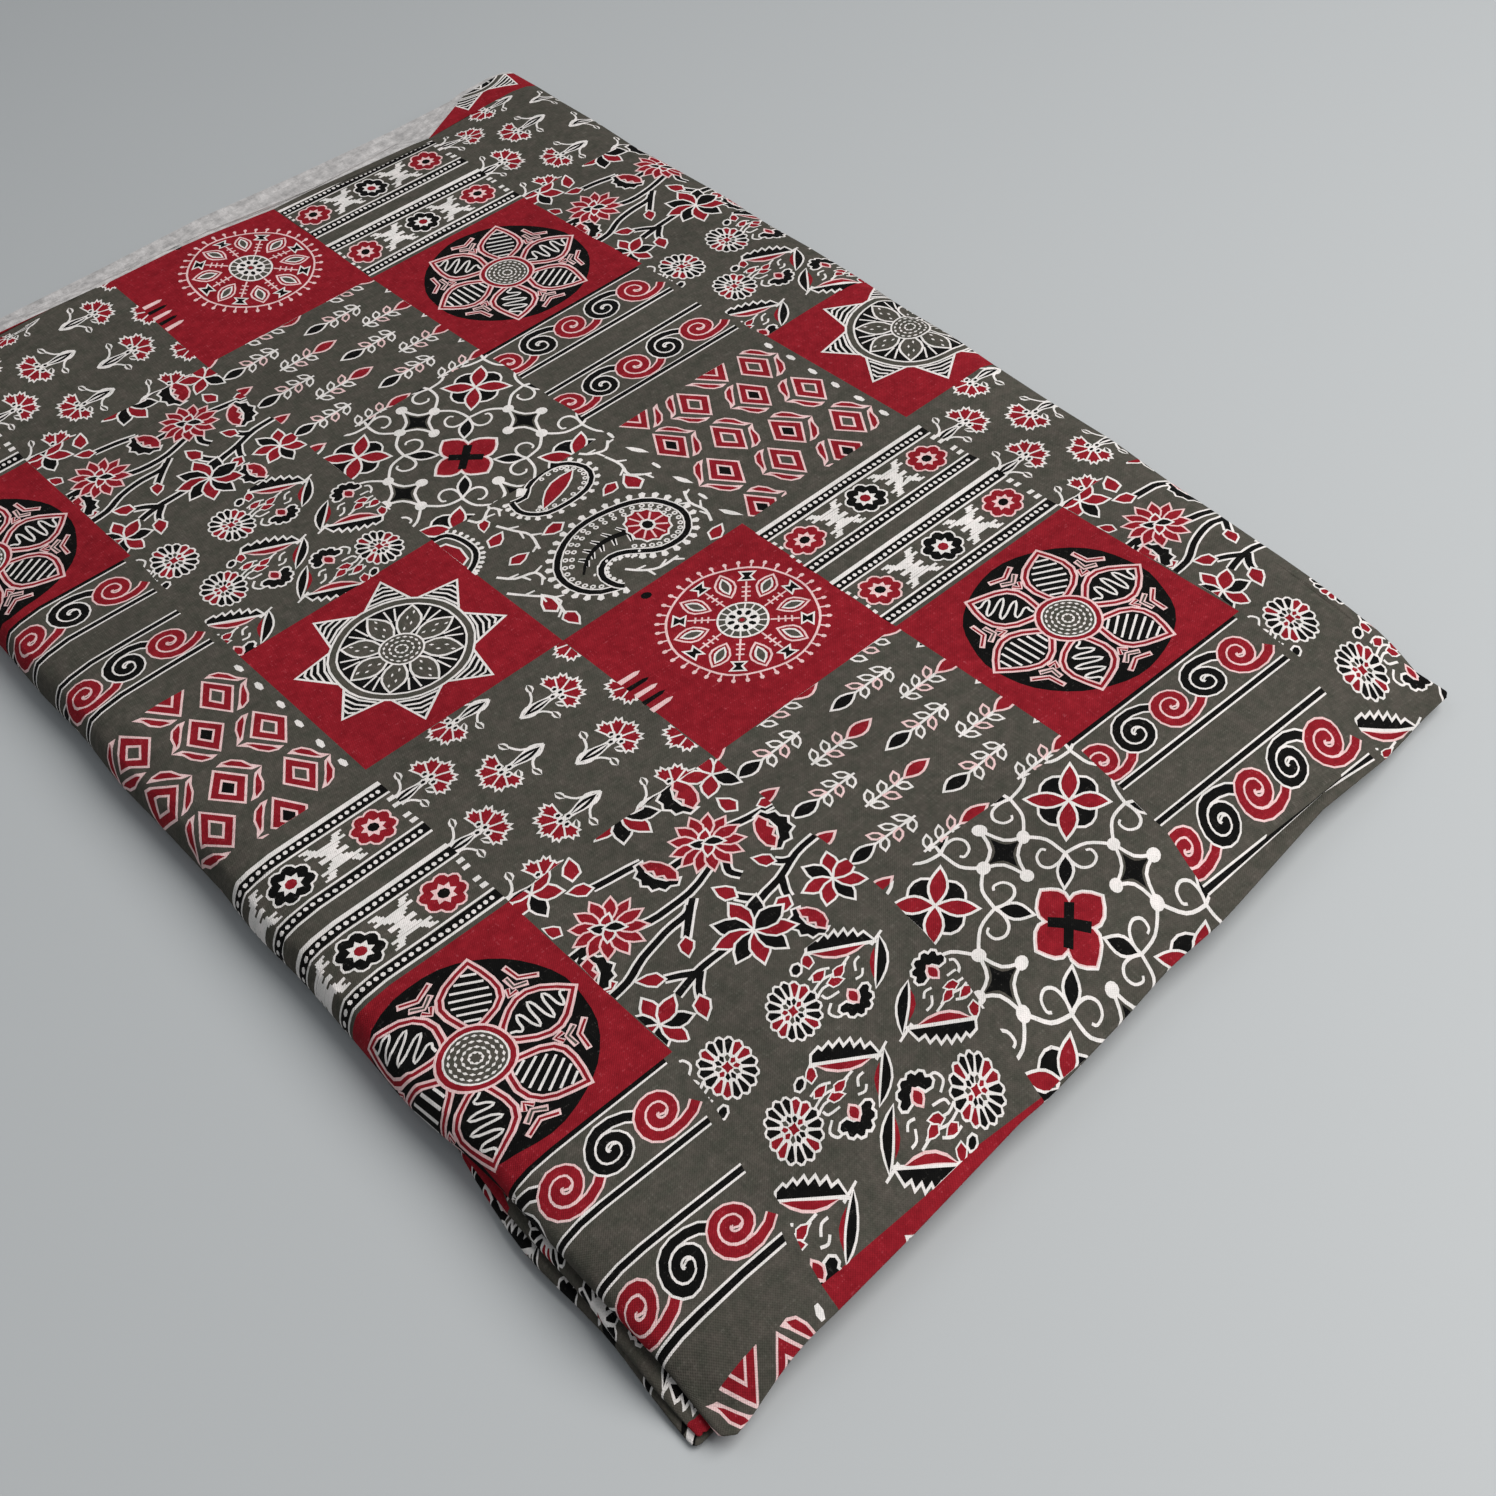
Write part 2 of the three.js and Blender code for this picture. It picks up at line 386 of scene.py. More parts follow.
# ------------------------------
# The print: carved wooden blocks, each one cell high and a little wider, set side by side in
# three columns. A stamp is a list of (ink, outline), where a later one covers an earlier one.
# Lengths on a block are shares of its height, A to the right and B up from its lower corner.

CELL = 76.0
BLOCK_WIDE = 1.045
INKS = ["ground", "red", "black", "white", "blush", "reverse"]
EDGE = 0.0086                  # the white line left round an inked shape


def oval(at, half_a, half_b, points=10, turn=0.0):
    outline = []
    for k in range(points):
        a = half_a * math.cos(math.tau * k / points)
        b = half_b * math.sin(math.tau * k / points)
        outline.append((
            at[0] + a * math.cos(turn) - b * math.sin(turn),
            at[1] + a * math.sin(turn) + b * math.cos(turn),
        ))
    return outline


def outward_oval(reach, degrees, half_a, half_b, points):
    """An oval that points away from the origin."""
    return oval(ray(reach, degrees), half_a, half_b, points, math.radians(degrees))


def discs(points, *parts):
    """Discs about the origin, each an ink and a radius."""
    return [(ink, oval((0, 0), radius, radius, points)) for ink, radius in parts]


def lobed(lobes, outer, inner, per_lobe=3, turn=0.0, pointed=False):
    """A rosette: rounded lobes, or the points of a star."""
    outline = []
    steps = 2 if pointed else per_lobe
    for k in range(lobes * steps):
        swell = k % 2 if pointed else abs(math.sin(math.pi * k / steps))
        radius = inner + (outer - inner) * swell
        angle = turn + math.tau * k / (lobes * steps)
        outline.append((radius * math.cos(angle), radius * math.sin(angle)))
    return outline


def rhombus(half_a, half_b):
    return [(half_a, 0.0), (0.0, half_b), (-half_a, 0.0), (0.0, -half_b)]


def box(low_a, low_b, high_a, high_b):
    return [(low_a, low_b), (high_a, low_b), (high_a, high_b), (low_a, high_b)]


def ray(radius, degrees, at=(0.0, 0.0)):
    angle = math.radians(degrees)
    return (at[0] + radius * math.cos(angle), at[1] + radius * math.sin(angle))


def leaf(base, tip, width, points=3, bend=0.0):
    """A leaf that is pointed at both ends, widest near its middle, bent to the left."""
    da = tip[0] - base[0]
    db = tip[1] - base[1]
    length = math.hypot(da, db)
    one_side = []
    other_side = []
    for k in range(1, points + 1):
        share = k / (points + 1)
        swell = math.sin(math.pi * share)
        for side, outline in ((-1, one_side), (1, other_side)):
            off = (side * width / 2 + bend) * swell / length
            outline.append((base[0] + da * share - db * off, base[1] + db * share + da * off))
    return [base, *one_side, tip, *reversed(other_side)]


def petal(foot, tip, degrees, *form):
    """A leaf that points away from the origin."""
    return leaf(ray(foot, degrees), ray(tip, degrees), *form)


def grown(outline, by):
    """The outline moved out all round."""
    if sum(p[0] * q[1] - q[0] * p[1] for p, q in zip(outline, outline[1:] + outline[:1])) < 0:
        outline = outline[::-1]
    normals = []
    for p, q in zip(outline, outline[1:] + outline[:1]):
        length = math.hypot(q[1] - p[1], p[0] - q[0]) or 1.0
        normals.append(((q[1] - p[1]) / length, (p[0] - q[0]) / length))
    moved = []
    for at, first, second in zip(outline, normals[-1:] + normals, normals):
        a = first[0] + second[0]
        b = first[1] + second[1]
        spread = max(a * a + b * b, 0.9)
        moved.append((at[0] + 2 * by * a / spread, at[1] + 2 * by * b / spread))
    return moved


def curve(points, steps=4):
    """A smooth line through the points."""
    line = []
    padded = [points[0], *points, points[-1]]
    for p, q, r, s in zip(padded, padded[1:], padded[2:], padded[3:]):
        for k in range(steps):
            t = k / steps
            line.append(tuple(
                q[i] + 0.5 * t * (
                    r[i] - p[i] + t * (2 * p[i] - 5 * q[i] + 4 * r[i] - s[i])
                    + t * t * (3 * q[i] - p[i] - 3 * r[i] + s[i])
                )
                for i in (0, 1)
            ))
    return [*line, points[-1]]


def runs(line):
    """Each point of a line, with the way that the line runs there and its length."""
    for i, (a, b) in enumerate(line):
        before = line[max(i - 1, 0)]
        after = line[min(i + 1, len(line) - 1)]
        da = after[0] - before[0]
        db = after[1] - before[1]
        yield a, b, da, db, math.hypot(da, db) or 1.0


def beside(line, off):
    """The line moved to its right by off."""
    return [(a + off * db / length, b - off * da / length) for a, b, da, db, length in runs(line)]


def sides_of(line, width, end_width=None):
    """The points on both sides of a drawn line, (left, right) at each of its points."""
    sides = []
    for i, (a, b, da, db, length) in enumerate(runs(line)):
        wide = width
        if end_width is not None:
            wide += (end_width - width) * i / (len(line) - 1)
        off = wide / 2 / length
        sides.append(((a - db * off, b + da * off), (a + db * off, b - da * off)))
    return sides


def drawn(ink, line, width, end_width=None):
    """A line of ink, as four-sided bits that share their ends."""
    sides = sides_of(line, width, end_width)
    return [(ink, [p[0], p[1], q[1], q[0]]) for p, q in zip(sides, sides[1:])]


def curves(ink, lines, width, end_width=None):
    """A smooth line of ink through each list of points."""
    return sum([drawn(ink, curve(points, 3), width, end_width) for points in lines], [])


def edged_line(ink, line, width, edge=EDGE, end_width=None, edge_ink="white"):
    """A line of ink with a white line on each side of it."""
    inner = sides_of(line, width, end_width)
    outer = sides_of(line, width + 2 * edge, None if end_width is None else end_width + 2 * edge)
    stamp = []
    for p, q, wide_p, wide_q in zip(inner, inner[1:], outer, outer[1:]):
        stamp += [
            (edge_ink, [wide_p[0], p[0], q[0], wide_q[0]]),
            (edge_ink, [p[1], wide_p[1], wide_q[1], q[1]]),
            (ink, [p[0], p[1], q[1], q[0]]),
        ]
    return stamp


def edged(ink, outline, edge=EDGE, edge_ink="white"):
    return [(edge_ink, grown(outline, edge)), (ink, outline)]


def edge_of(ink):
    return "blush" if ink == "red" else "white"


def placed(stamp, at=(0.0, 0.0), turn=0.0, size=1.0, flip_a=1, flip_b=1):
    """A copy of a stamp, mirrored, sized, turned in degrees and moved."""
    cos = size * math.cos(math.radians(turn))
    sin = size * math.sin(math.radians(turn))
    return [
        (ink, [
            (
                at[0] + flip_a * a * cos - flip_b * b * sin,
                at[1] + flip_a * a * sin + flip_b * b * cos,
            )
            for a, b in outline
        ])
        for ink, outline in stamp
    ]


def around(stamp, count, first=0.0):
    """Copies of a stamp at even steps about the origin."""
    return sum([placed(stamp, turn=first + 360 * k / count) for k in range(count)], [])


def scattered(stamp, places):
    """Copies of a stamp, each at A and B, with its turn and its size."""
    return sum([placed(stamp, (a, b), turn, size) for a, b, turn, size in places], [])


# ------------------------------
# The scroll block: two rows of running spirals, red and black by turns, each row between two
# ruled lines. The block carver cut every spiral as one groove that curls in to its middle.

SPIRAL_PITCH = 0.2095
SPIRAL_REACH = 0.094
SPIRAL_WIDTH = 0.036
SPIRAL_TURNS = 1.62
SPIRAL_STEPS = 25


def spiral(ink):
    line = [(0.135, 0.052), (0.105, 0.076), (0.055, 0.092)]
    for k in range(SPIRAL_STEPS + 1):
        share = k / SPIRAL_STEPS
        line.append(ray(SPIRAL_REACH - 0.074 * share ** 0.9, 90 + 360 * SPIRAL_TURNS * share))
    stamp = edged(ink, oval(line[-1], 0.024, 0.024, 8), EDGE, edge_of(ink))
    return stamp + edged_line(ink, line, SPIRAL_WIDTH, edge_ink=edge_of(ink))


def scroll_block():
    stamp = []
    for middle in (0.84, 0.325):
        for side in (0.151, -0.146):
            rule = [(0.0, middle + side), (BLOCK_WIDE - 0.04, middle + side)]
            stamp += edged_line("black", rule, 0.024, 0.0085)
        for k in range(5):
            ink, flip = (("red", -1), ("black", 1))[k % 2]
            stamp += placed(spiral(ink), (0.03 + SPIRAL_PITCH * k, middle), flip_b=flip)
    return stamp


# ------------------------------
# The flower stripe block: two borders of rosettes and stepped figures, white on the grey
# ground, between black strips that are dotted with white.

DOT_PITCH = 0.031
STRIPE_ROWS = (0.706, 0.218)


def band(ink, middle, half):
    return [(ink, box(0.0, middle - half, BLOCK_WIDE, middle + half))]


def rosette(petals, heart):
    stamp = edged(petals, lobed(8, 0.096, 0.078, 4), 0.009, edge_of(petals))
    stamp += [(edge_of(petals), lobed(8, 0.056, 0.037, turn=0.2, pointed=True))]
    return stamp + discs(8, (heart, 0.026))


def stepped_figure():
    """Two stepped chevrons that meet in a bar, woven-looking, as on ikat."""
    steps = [
        (0.012, 0.0, 0.062), (0.025, 0.0, 0.024), (0.038, 0.0, 0.041), (0.051, 0.0, 0.056),
        (0.066, 0.0, 0.09), (0.078, 0.034, 0.068), (0.089, 0.044, 0.08), (0.1, 0.05, 0.094),
    ]
    stamp = []
    low = 0.0
    for high, inner, outer in steps:
        spans = [(-outer, -inner), (inner, outer)] if inner else [(-outer, outer)]
        for flip in (-1, 1):
            stamp += [("white", box(left, flip * low, right, flip * high)) for left, right in spans]
        low = high
    return stamp


def dotted_strip(middle):
    dots = [(0.016 + DOT_PITCH * k, middle) for k in range(int(BLOCK_WIDE / DOT_PITCH))]
    return band("black", middle, 0.024) + [("white", oval(at, 0.0105, 0.0115, 6)) for at in dots]


def flower_stripe_block():
    stamp = []
    for middle in STRIPE_ROWS:
        for at, half in ((0.192, 0.012), (0.122, 0.0055), (-0.125, 0.0055), (-0.19, 0.006)):
            stamp += band("white", middle + at, half)
        stamp += dotted_strip(middle + 0.154) + dotted_strip(middle - 0.158)
        for k in range(3):
            inks = ("black", "red") if k % 2 else ("red", "black")
            stamp += placed(rosette(*inks), (0.118 + 0.386 * k, middle))
        for k in range(2):
            stamp += placed(stepped_figure(), (0.312 + 0.384 * k, middle))
        for low, high in ((-0.03, -0.052), (-0.074, -0.098), (0.03, 0.052), (0.074, 0.098)):
            for left, right in ((1.012, BLOCK_WIDE), (0.0, 0.016)):
                stamp += [("white", box(left, middle + low, right, middle + high))]
    return stamp


# ------------------------------
# The diamond block: red frames in offset rows, each held by a pair of curved leaves that
# point away to one side, with short dashes down both edges of the block.

DIAMOND_ROWS = [
    (0.998, "red", ((0.165, 1), (0.665, -1))),
    (0.85, "ground", ((0.44, -1), (0.835, 1))),
    (0.685, "black", ((0.15, 1), (0.682, -1))),
    (0.52, "ground", ((0.373, 1), (0.895, -1))),
    (0.347, "black", ((0.2, -1), (0.598, 1))),
    (0.188, "ground", ((0.448, -1), (0.843, 1))),
    (0.02, "black", ((0.142, 1), (0.685, -1))),
]


def diamond(heart):
    """A framed diamond with two claws on its right, above and below."""
    stamp = [
        ("blush", rhombus(0.09, 0.139)), ("red", rhombus(0.078, 0.12)),
        ("blush", rhombus(0.042, 0.066)), (heart, rhombus(0.03, 0.047)),
    ]
    claw = [
        (0.018, 0.141), (0.05, 0.147), (0.086, 0.13), (0.114, 0.088), (0.125, 0.044),
        (0.154, 0.0), (0.114, 0.013), (0.093, 0.042), (0.07, 0.078), (0.046, 0.112),
    ]
    inside = [
        (0.046, 0.138), (0.081, 0.122), (0.105, 0.085), (0.116, 0.043), (0.123, 0.022),
        (0.103, 0.042), (0.08, 0.079), (0.057, 0.112),
    ]
    for flip in (-1, 1):
        stamp += placed([("blush", claw), ("red", inside)], flip_b=flip)
    return stamp


def diamond_block():
    stamp = []
    for level, heart, places in DIAMOND_ROWS:
        for a, side in places:
            stamp += placed(diamond(heart), (a, level), flip_a=side)
    for k in range(3):
        down = 0.345 * k
        stamp += [("white", leaf((-0.01, 0.86 - down), (0.044, 0.73 - down), 0.03, 2))]
        stamp += [("white", oval((0.008, 0.975 - down), 0.011, 0.034, 6))]
    return stamp + [("white", oval((1.0, 0.935 - 0.166 * k), 0.015, 0.033, 6)) for k in range(6)]


# ------------------------------
# The wheel block: a pale rayed wheel on a red ground, with eye-shaped petals between its
# spokes, a grey hub of rings, and five short bars at the block's left edge.

RED_GROUND = [("red", box(0.0, 0.0, BLOCK_WIDE, 1.0))]
WHEEL_AT = (0.625, 0.517)
WHEEL_RING = 0.337
KNOBS = 38
FINE = 0.0085                  # the wheel's thin lines


def wheel():
    stamp = drawn("blush", [ray(WHEEL_RING, 360 * k / 48) for k in range(49)], 0.0105)
    for k in range(KNOBS):
        angle = 360 * (k + 0.5) / KNOBS
        stamp += drawn("blush", [ray(WHEEL_RING, angle), ray(0.364, angle)], 0.008)
        stamp += [("blush", outward_oval(0.373, angle, 0.0135, 0.0105, 6))]
    spoke = drawn("blush", [(0.12, 0.0), (0.25, 0.0)], FINE)
    for at in (0.155, 0.185, 0.215):
        spoke += drawn("blush", [(at, -0.019), (at, 0.019)], FINE)
    bow_tie = [
        (0.262, -0.026), (0.282, -0.01), (0.306, -0.028),
        (0.306, 0.028), (0.282, 0.01), (0.262, 0.026),
    ]
    spoke += edged("black", bow_tie, 0.009)
    for k in range(8):
        angle = 45 * k + 22.5
        stamp += [
            ("blush", petal(0.152, 0.318, angle, 0.1, 4)),
            ("red", petal(0.166, 0.304, angle, 0.08, 4)),
            ("white", petal(0.178, 0.292, angle, 0.056, 3)),
            ("ground", petal(0.192, 0.278, angle, 0.035, 3)),
        ]
        stamp += placed(spoke, turn=45 * k)
    stamp += discs(24, ("white", 0.116), ("ground", 0.106))
    for k in range(16):
        stamp += drawn("white", [ray(0.07, 22.5 * k), ray(0.108, 22.5 * k)], 0.007)
    stamp += discs(20, ("white", 0.074))
    for k in range(8):
        stamp += [("black", outward_oval(0.049, 45 * k + 22.5, 0.018, 0.0125, 6))]
    return stamp + discs(8, ("ground", 0.021)) + discs(6, ("red", 0.013))


def wheel_block():
    stamp = RED_GROUND + placed(wheel(), WHEEL_AT)
    for k, ink in enumerate(("blush", "black", "blush", "black", "blush")):
        level = 0.61 - 0.0565 * k
        stamp += [(ink, [
            (0.0, level - 0.014), (0.095, level - 0.011), (0.118, level),
            (0.095, level + 0.011), (0.0, level + 0.014),
        ])]
    return stamp + [("black", oval((0.435, 0.948), 0.026, 0.022, 9))]


# ------------------------------
# The paisley block: a large and a small cone with fringed backs, among twigs and red buds.
# The carver drew each cone from its tail round its belly and back into its curled tip.

LARGE_CONE = [
    (0.411, 0.07), (0.31, 0.12), (0.252, 0.2), (0.243, 0.296), (0.275, 0.392), (0.355, 0.48),
    (0.46, 0.538), (0.573, 0.556), (0.69, 0.545), (0.8, 0.505), (0.88, 0.44), (0.915, 0.345),
    (0.911, 0.247), (0.863, 0.166), (0.782, 0.13), (0.685, 0.142), (0.62, 0.198), (0.565, 0.247),
    (0.492, 0.271), (0.411, 0.247), (0.371, 0.182), (0.387, 0.102), (0.411, 0.07),
]
SMALL_CONE = [
    (0.411, 0.932), (0.403, 0.86), (0.427, 0.803), (0.492, 0.747), (0.605, 0.727), (0.718, 0.747),
    (0.79, 0.803), (0.815, 0.884), (0.782, 0.964), (0.718, 0.997), (0.621, 0.997), (0.54, 0.973),
    (0.484, 0.924), (0.411, 0.932),
]
CONE_TWIGS = [
    [(0.27, 0.85), (0.3, 0.76), (0.335, 0.68), (0.31, 0.57)],
    [(0.05, 0.56), (0.1, 0.49), (0.19, 0.45), (0.2, 0.38)],
    [(0.02, 0.44), (0.09, 0.33), (0.14, 0.25), (0.12, 0.12)],
    [(0.93, 0.86), (0.945, 0.76), (0.93, 0.67), (1.0, 0.6)],
    [(0.48, 0.16), (0.53, 0.1), (0.6, 0.055), (0.7, 0.05)],
    [(0.97, 0.12), (1.0, 0.2), (0.98, 0.3), (1.02, 0.38)],
    [(0.86, 0.98), (0.9, 0.93), (0.97, 0.9), (1.02, 0.95)],
    [(0.2, 0.99), (0.24, 0.93), (0.32, 0.98), (0.35, 0.92)],
]
CONE_BUDS = [
    (0.16, 0.76, 20, 1.0), (0.15, 0.585, 0, 1.0), (0.49, 0.635, 176, 1.05),
    (0.845, 0.675, 196, 1.0), (0.895, 0.56, 82, 1.25), (0.105, 0.17, 84, 1.3),
    (0.125, 0.13, 265, 1.0), (0.885, 0.03, 20, 1.0), (0.255, 0.93, 235, 0.8),
]
TWIG = 0.0145
TICK = 0.037                   # a twig's side shoots reach this far on and aside


def fringe(line, near, far, width):
    """Rounded teeth that stand on the left of a line, from near to far."""
    stamp = []
    for (a, b), (c, d) in zip(beside(line, -near), beside(line, -far)):
        across_a = (d - b) / (far - near) * width / 2
        across_b = (a - c) / (far - near) * width / 2
        stamp += [("white", [
            (a + across_a * 0.5, b + across_b * 0.5), (c + across_a, d + across_b),
            (c + (c - a) * 0.3, d + (d - b) * 0.3), (c - across_a, d - across_b),
            (a - across_a * 0.5, b - across_b * 0.5),
        ])]
    return stamp


def bud():
    """A pointed red bud with its white edge, its stalk end at the origin."""
    right = [(0.0, 0.0), (0.03, -0.03), (0.062, -0.024), (0.098, 0.0)]
    return edged("red", [*right, (0.062, 0.024), (0.03, 0.03)], 0.009)


def twig(points):
    line = curve(points, 3)
    stamp = drawn("white", line, TWIG)
    for k in range(2, len(line) - 1, 2):
        side = 1 if k % 4 else -1
        (a, b), (c, d) = line[k - 1], line[k]
        length = math.hypot(c - a, d - b) or 1.0
        on_a = (c - a) / length * TICK
        on_b = (d - b) / length * TICK
        stamp += drawn("white", [(c, d), (c + on_a - side * on_b, d + on_b + side * on_a)], TWIG, 0.009)
    return stamp


def cone_filling(line, inside, size):
    """A row of small white loops just inside the outline of a cone."""
    stamp = []
    for at in beside(line, inside)[2:-2]:
        stamp += [("white", oval(at, size, size, 6)), ("ground", oval(at, size * 0.5, size * 0.5, 4))]
    return stamp


def cone_heart():
    stamp = edged("red", lobed(12, 0.1, 0.09, 2), 0.009)
    for k in range(10):
        stamp += drawn("blush", [ray(0.036, 36 * k), ray(0.088, 36 * k)], 0.009)
    stamp += edged("black", oval((0, 0), 0.026, 0.026, 8), 0.011)
    return [(ink, [(0.97 * a, 1.24 * b) for a, b in outline]) for ink, outline in stamp]


def paisley_block():
    large = curve(LARGE_CONE, 2)
    small = curve(SMALL_CONE, 2)[::-1]
    stamp = fringe(large[:33], 0.01, 0.046, 0.034)
    stamp += fringe(large[33:43], 0.01, 0.034, 0.026)
    stamp += fringe(small[10:], 0.01, 0.038, 0.029)
    stamp += edged_line("black", large, 0.028, 0.007)
    stamp += cone_filling(large[:36], 0.036, 0.015)
    stamp += cone_filling(large[6:26], 0.066, 0.0145)
    fern = curve([(0.68, 0.345), (0.58, 0.375), (0.48, 0.37), (0.4, 0.335), (0.33, 0.275)], 3)
    for side in (-1, 1):
        for k in range(1, len(fern) - 2, 2):
            a, b = fern[k]
            frond = [(a, b), (a - 0.022, b + side * (0.07 - 0.004 * k))]
            stamp += edged_line("black", frond, 0.017, 0.006, 0.007)
    stamp += drawn("black", fern, 0.04, 0.01)
    for k in range(6):
        at = (0.36 + 0.05 * k, 0.235 + 0.035 * math.sin(k * 1.1))
        stamp += [("white", oval(at, 0.011, 0.007, 5, 0.6))]
    stamp += placed(cone_heart(), (0.748, 0.322))
    stamp += edged_line("black", small, 0.024, 0.007)
    stamp += cone_filling(small[4:24], 0.032, 0.0135)
    tongue = leaf((0.5, 0.785), (0.762, 0.91), 0.082, 4, 0.012)
    stamp += fringe(tongue[:6], 0.008, 0.03, 0.024) + edged("red", tongue, 0.009)
    cheek = [(-0.01, 0.93), (0.026, 0.92), (0.052, 0.85), (0.035, 0.77), (-0.01, 0.745)]
    stamp += edged("red", cheek, 0.011)
    round_cheek = [
        (-0.01, 0.995), (0.065, 0.972), (0.102, 0.892), (0.097, 0.795), (0.05, 0.722), (-0.01, 0.68),
    ]
    arc = curve(round_cheek, 3)
    stamp += fringe(arc, 0.01, 0.038, 0.022) + edged_line("black", arc, 0.025, 0.008)
    stamp += scattered(bud(), CONE_BUDS)
    for points in CONE_TWIGS:
        stamp += twig(points)
    return stamp + [("white", [(0.452, 0.955), (0.5, 1.01), (0.53, 0.965), (0.49, 0.94)])]


# ------------------------------
# The lattice block: flowers in a net of white arcs that meet in knobs, with a black concave
# diamond at each crossing, and hooked scrolls round black almonds between the flowers.

NET_A = 0.365                  # from a flower to the next crossing, sideways
NET_B = 0.41                   # and upwards
NET_AT = (0.475, 0.385)
NET_LINE = 0.0145
CROSSING = (0.106, 0.14)       # the half sizes of a crossing's diamond


def cross_flower():
    side = [(0.04, 0.042), (0.07, 0.064), (0.1, 0.068), (0.128, 0.056), (0.152, 0.032)]
    outline = [(0.0, 0.0), *[(a, -b) for a, b in side], (0.174, 0.0), *side[::-1]]
    stamp = around([("white", grown(outline, 0.015))], 4) + around([("blush", grown(outline, 0.006))], 4)
    stamp += around([("red", outline)], 4)
    for angle in (45, 135):
        stamp += drawn("black", [ray(0.09, angle), ray(-0.09, angle)], 0.043)
    return stamp


def petal_flower():
    stamp = []
    for k in range(4):
        stamp += edged("black", outward_oval(0.086, 90 * k, 0.05, 0.058, 12), 0.011)
    for k in range(4):
        stamp += edged("red", petal(0.008, 0.17, 45 + 90 * k, 0.068, 5), 0.011)
    return stamp


def crossing():
    stamp = []
    concave = []
    tips = rhombus(*CROSSING)
    for p, q in zip(tips, tips[1:] + tips[:1]):
        side = curve([p, ((p[0] + q[0]) * 0.33, (p[1] + q[1]) * 0.31), q], 3)
        concave += side[:-1]
        stamp += drawn("white", side, NET_LINE)
    stamp += [("black", [(a * 0.74, b * 0.58) for a, b in concave])]
    return stamp + [("white", oval(tip, 0.03, 0.03, 12)) for tip in tips]


def almond_scroll():
    """A black almond with a hooked scroll on each side, its stalk end at the origin."""
    stamp = edged("black", leaf((0.018, 0.0), (0.152, 0.0), 0.056, 5), 0.0115)
    hook = [
        (0.0, 0.0), (0.04, 0.022), (0.068, 0.062), (0.058, 0.104),
        (0.018, 0.12), (-0.016, 0.1), (-0.014, 0.078),
    ]
    hooks = [[(a, flip * b) for a, b in hook] for flip in (-1, 1)]
    return stamp + curves("white", hooks, NET_LINE, NET_LINE * 0.75)


def net_cell(at):
    """The ring of arcs round a petal flower, from knob to knob over the almond scrolls."""
    stamp = []
    for flip_a in (-1, 1):
        for flip_b in (-1, 1):
            meet = (0.172 * flip_a, 0.17 * flip_b)
            for knob, pull in (
                (((NET_A - CROSSING[0]) * flip_a, 0.0), (0.188 * flip_a, 0.075 * flip_b)),
                ((0.0, (NET_B - CROSSING[1]) * flip_b), (0.078 * flip_a, 0.19 * flip_b)),
            ):
                stamp += drawn("white", curve([knob, pull, meet], 4), NET_LINE)
            heading = math.degrees(math.atan2(NET_B * flip_b, NET_A * flip_a))
            stamp += placed(almond_scroll(), meet, heading)
    return placed(stamp + petal_flower(), at)


def lattice_block():
    stamp = []
    for side, level in ((-1, -1), (-1, 1), (1, -1), (1, 1), (-3, 1), (3, 1)):
        stamp += net_cell((NET_AT[0] + side * NET_A, NET_AT[1] + level * NET_B))
    for side, level in ((0, 1), (0, -1), (1, 0), (-1, 0)):
        stamp += placed(crossing(), (NET_AT[0] + side * NET_A, NET_AT[1] + level * NET_B))
    return stamp + placed(cross_flower(), NET_AT)


# ------------------------------
# The sprig block: seven rows of small leafy sprigs, which point right with a red tip and left
# with a black one by turns. The topmost and lowest rows are cut by the block's edge.

SPRIG_ROW = 0.1645
SPRIG_PITCH = 0.516


def sprig(ink):
    stamp = drawn("white", [(-0.268, 0.0), (-0.04, 0.0)], 0.011)
    for k in range(3):
        foot = -0.255 + 0.068 * k
        for flip in (-1, 1):
            tip = (foot + 0.05, 0.058 * flip)
            loop = leaf((foot + 0.006, 0.004 * flip), tip, 0.04, 2, -0.004 * flip)
            loop_ink = "white" if (k + flip) % 3 else "blush"
            stamp += [(loop_ink, grown(loop, 0.004)), ("ground", grown(loop, -0.0055))]
    return stamp + edged(ink, leaf((-0.055, 0.0), (0.068, 0.0), 0.058, 4), 0.0105, edge_of(ink))


def sprig_block():
    stamp = []
    for row in range(7):
        ink, first, facing = (("red", 0.508, 1), ("black", 0.585, -1))[row % 2]
        for k in range(-1, 2):
            at = (first + SPRIG_PITCH * k, 1.002 - SPRIG_ROW * row)
            stamp += placed(sprig(ink), at, flip_a=facing)
    return stamp


# ------------------------------
# The lotus block: a creeper with lotus flowers, buds and fan-shaped blooms on black stems.
# Its stems run out of the block on both sides, so the creeper seems to go on.

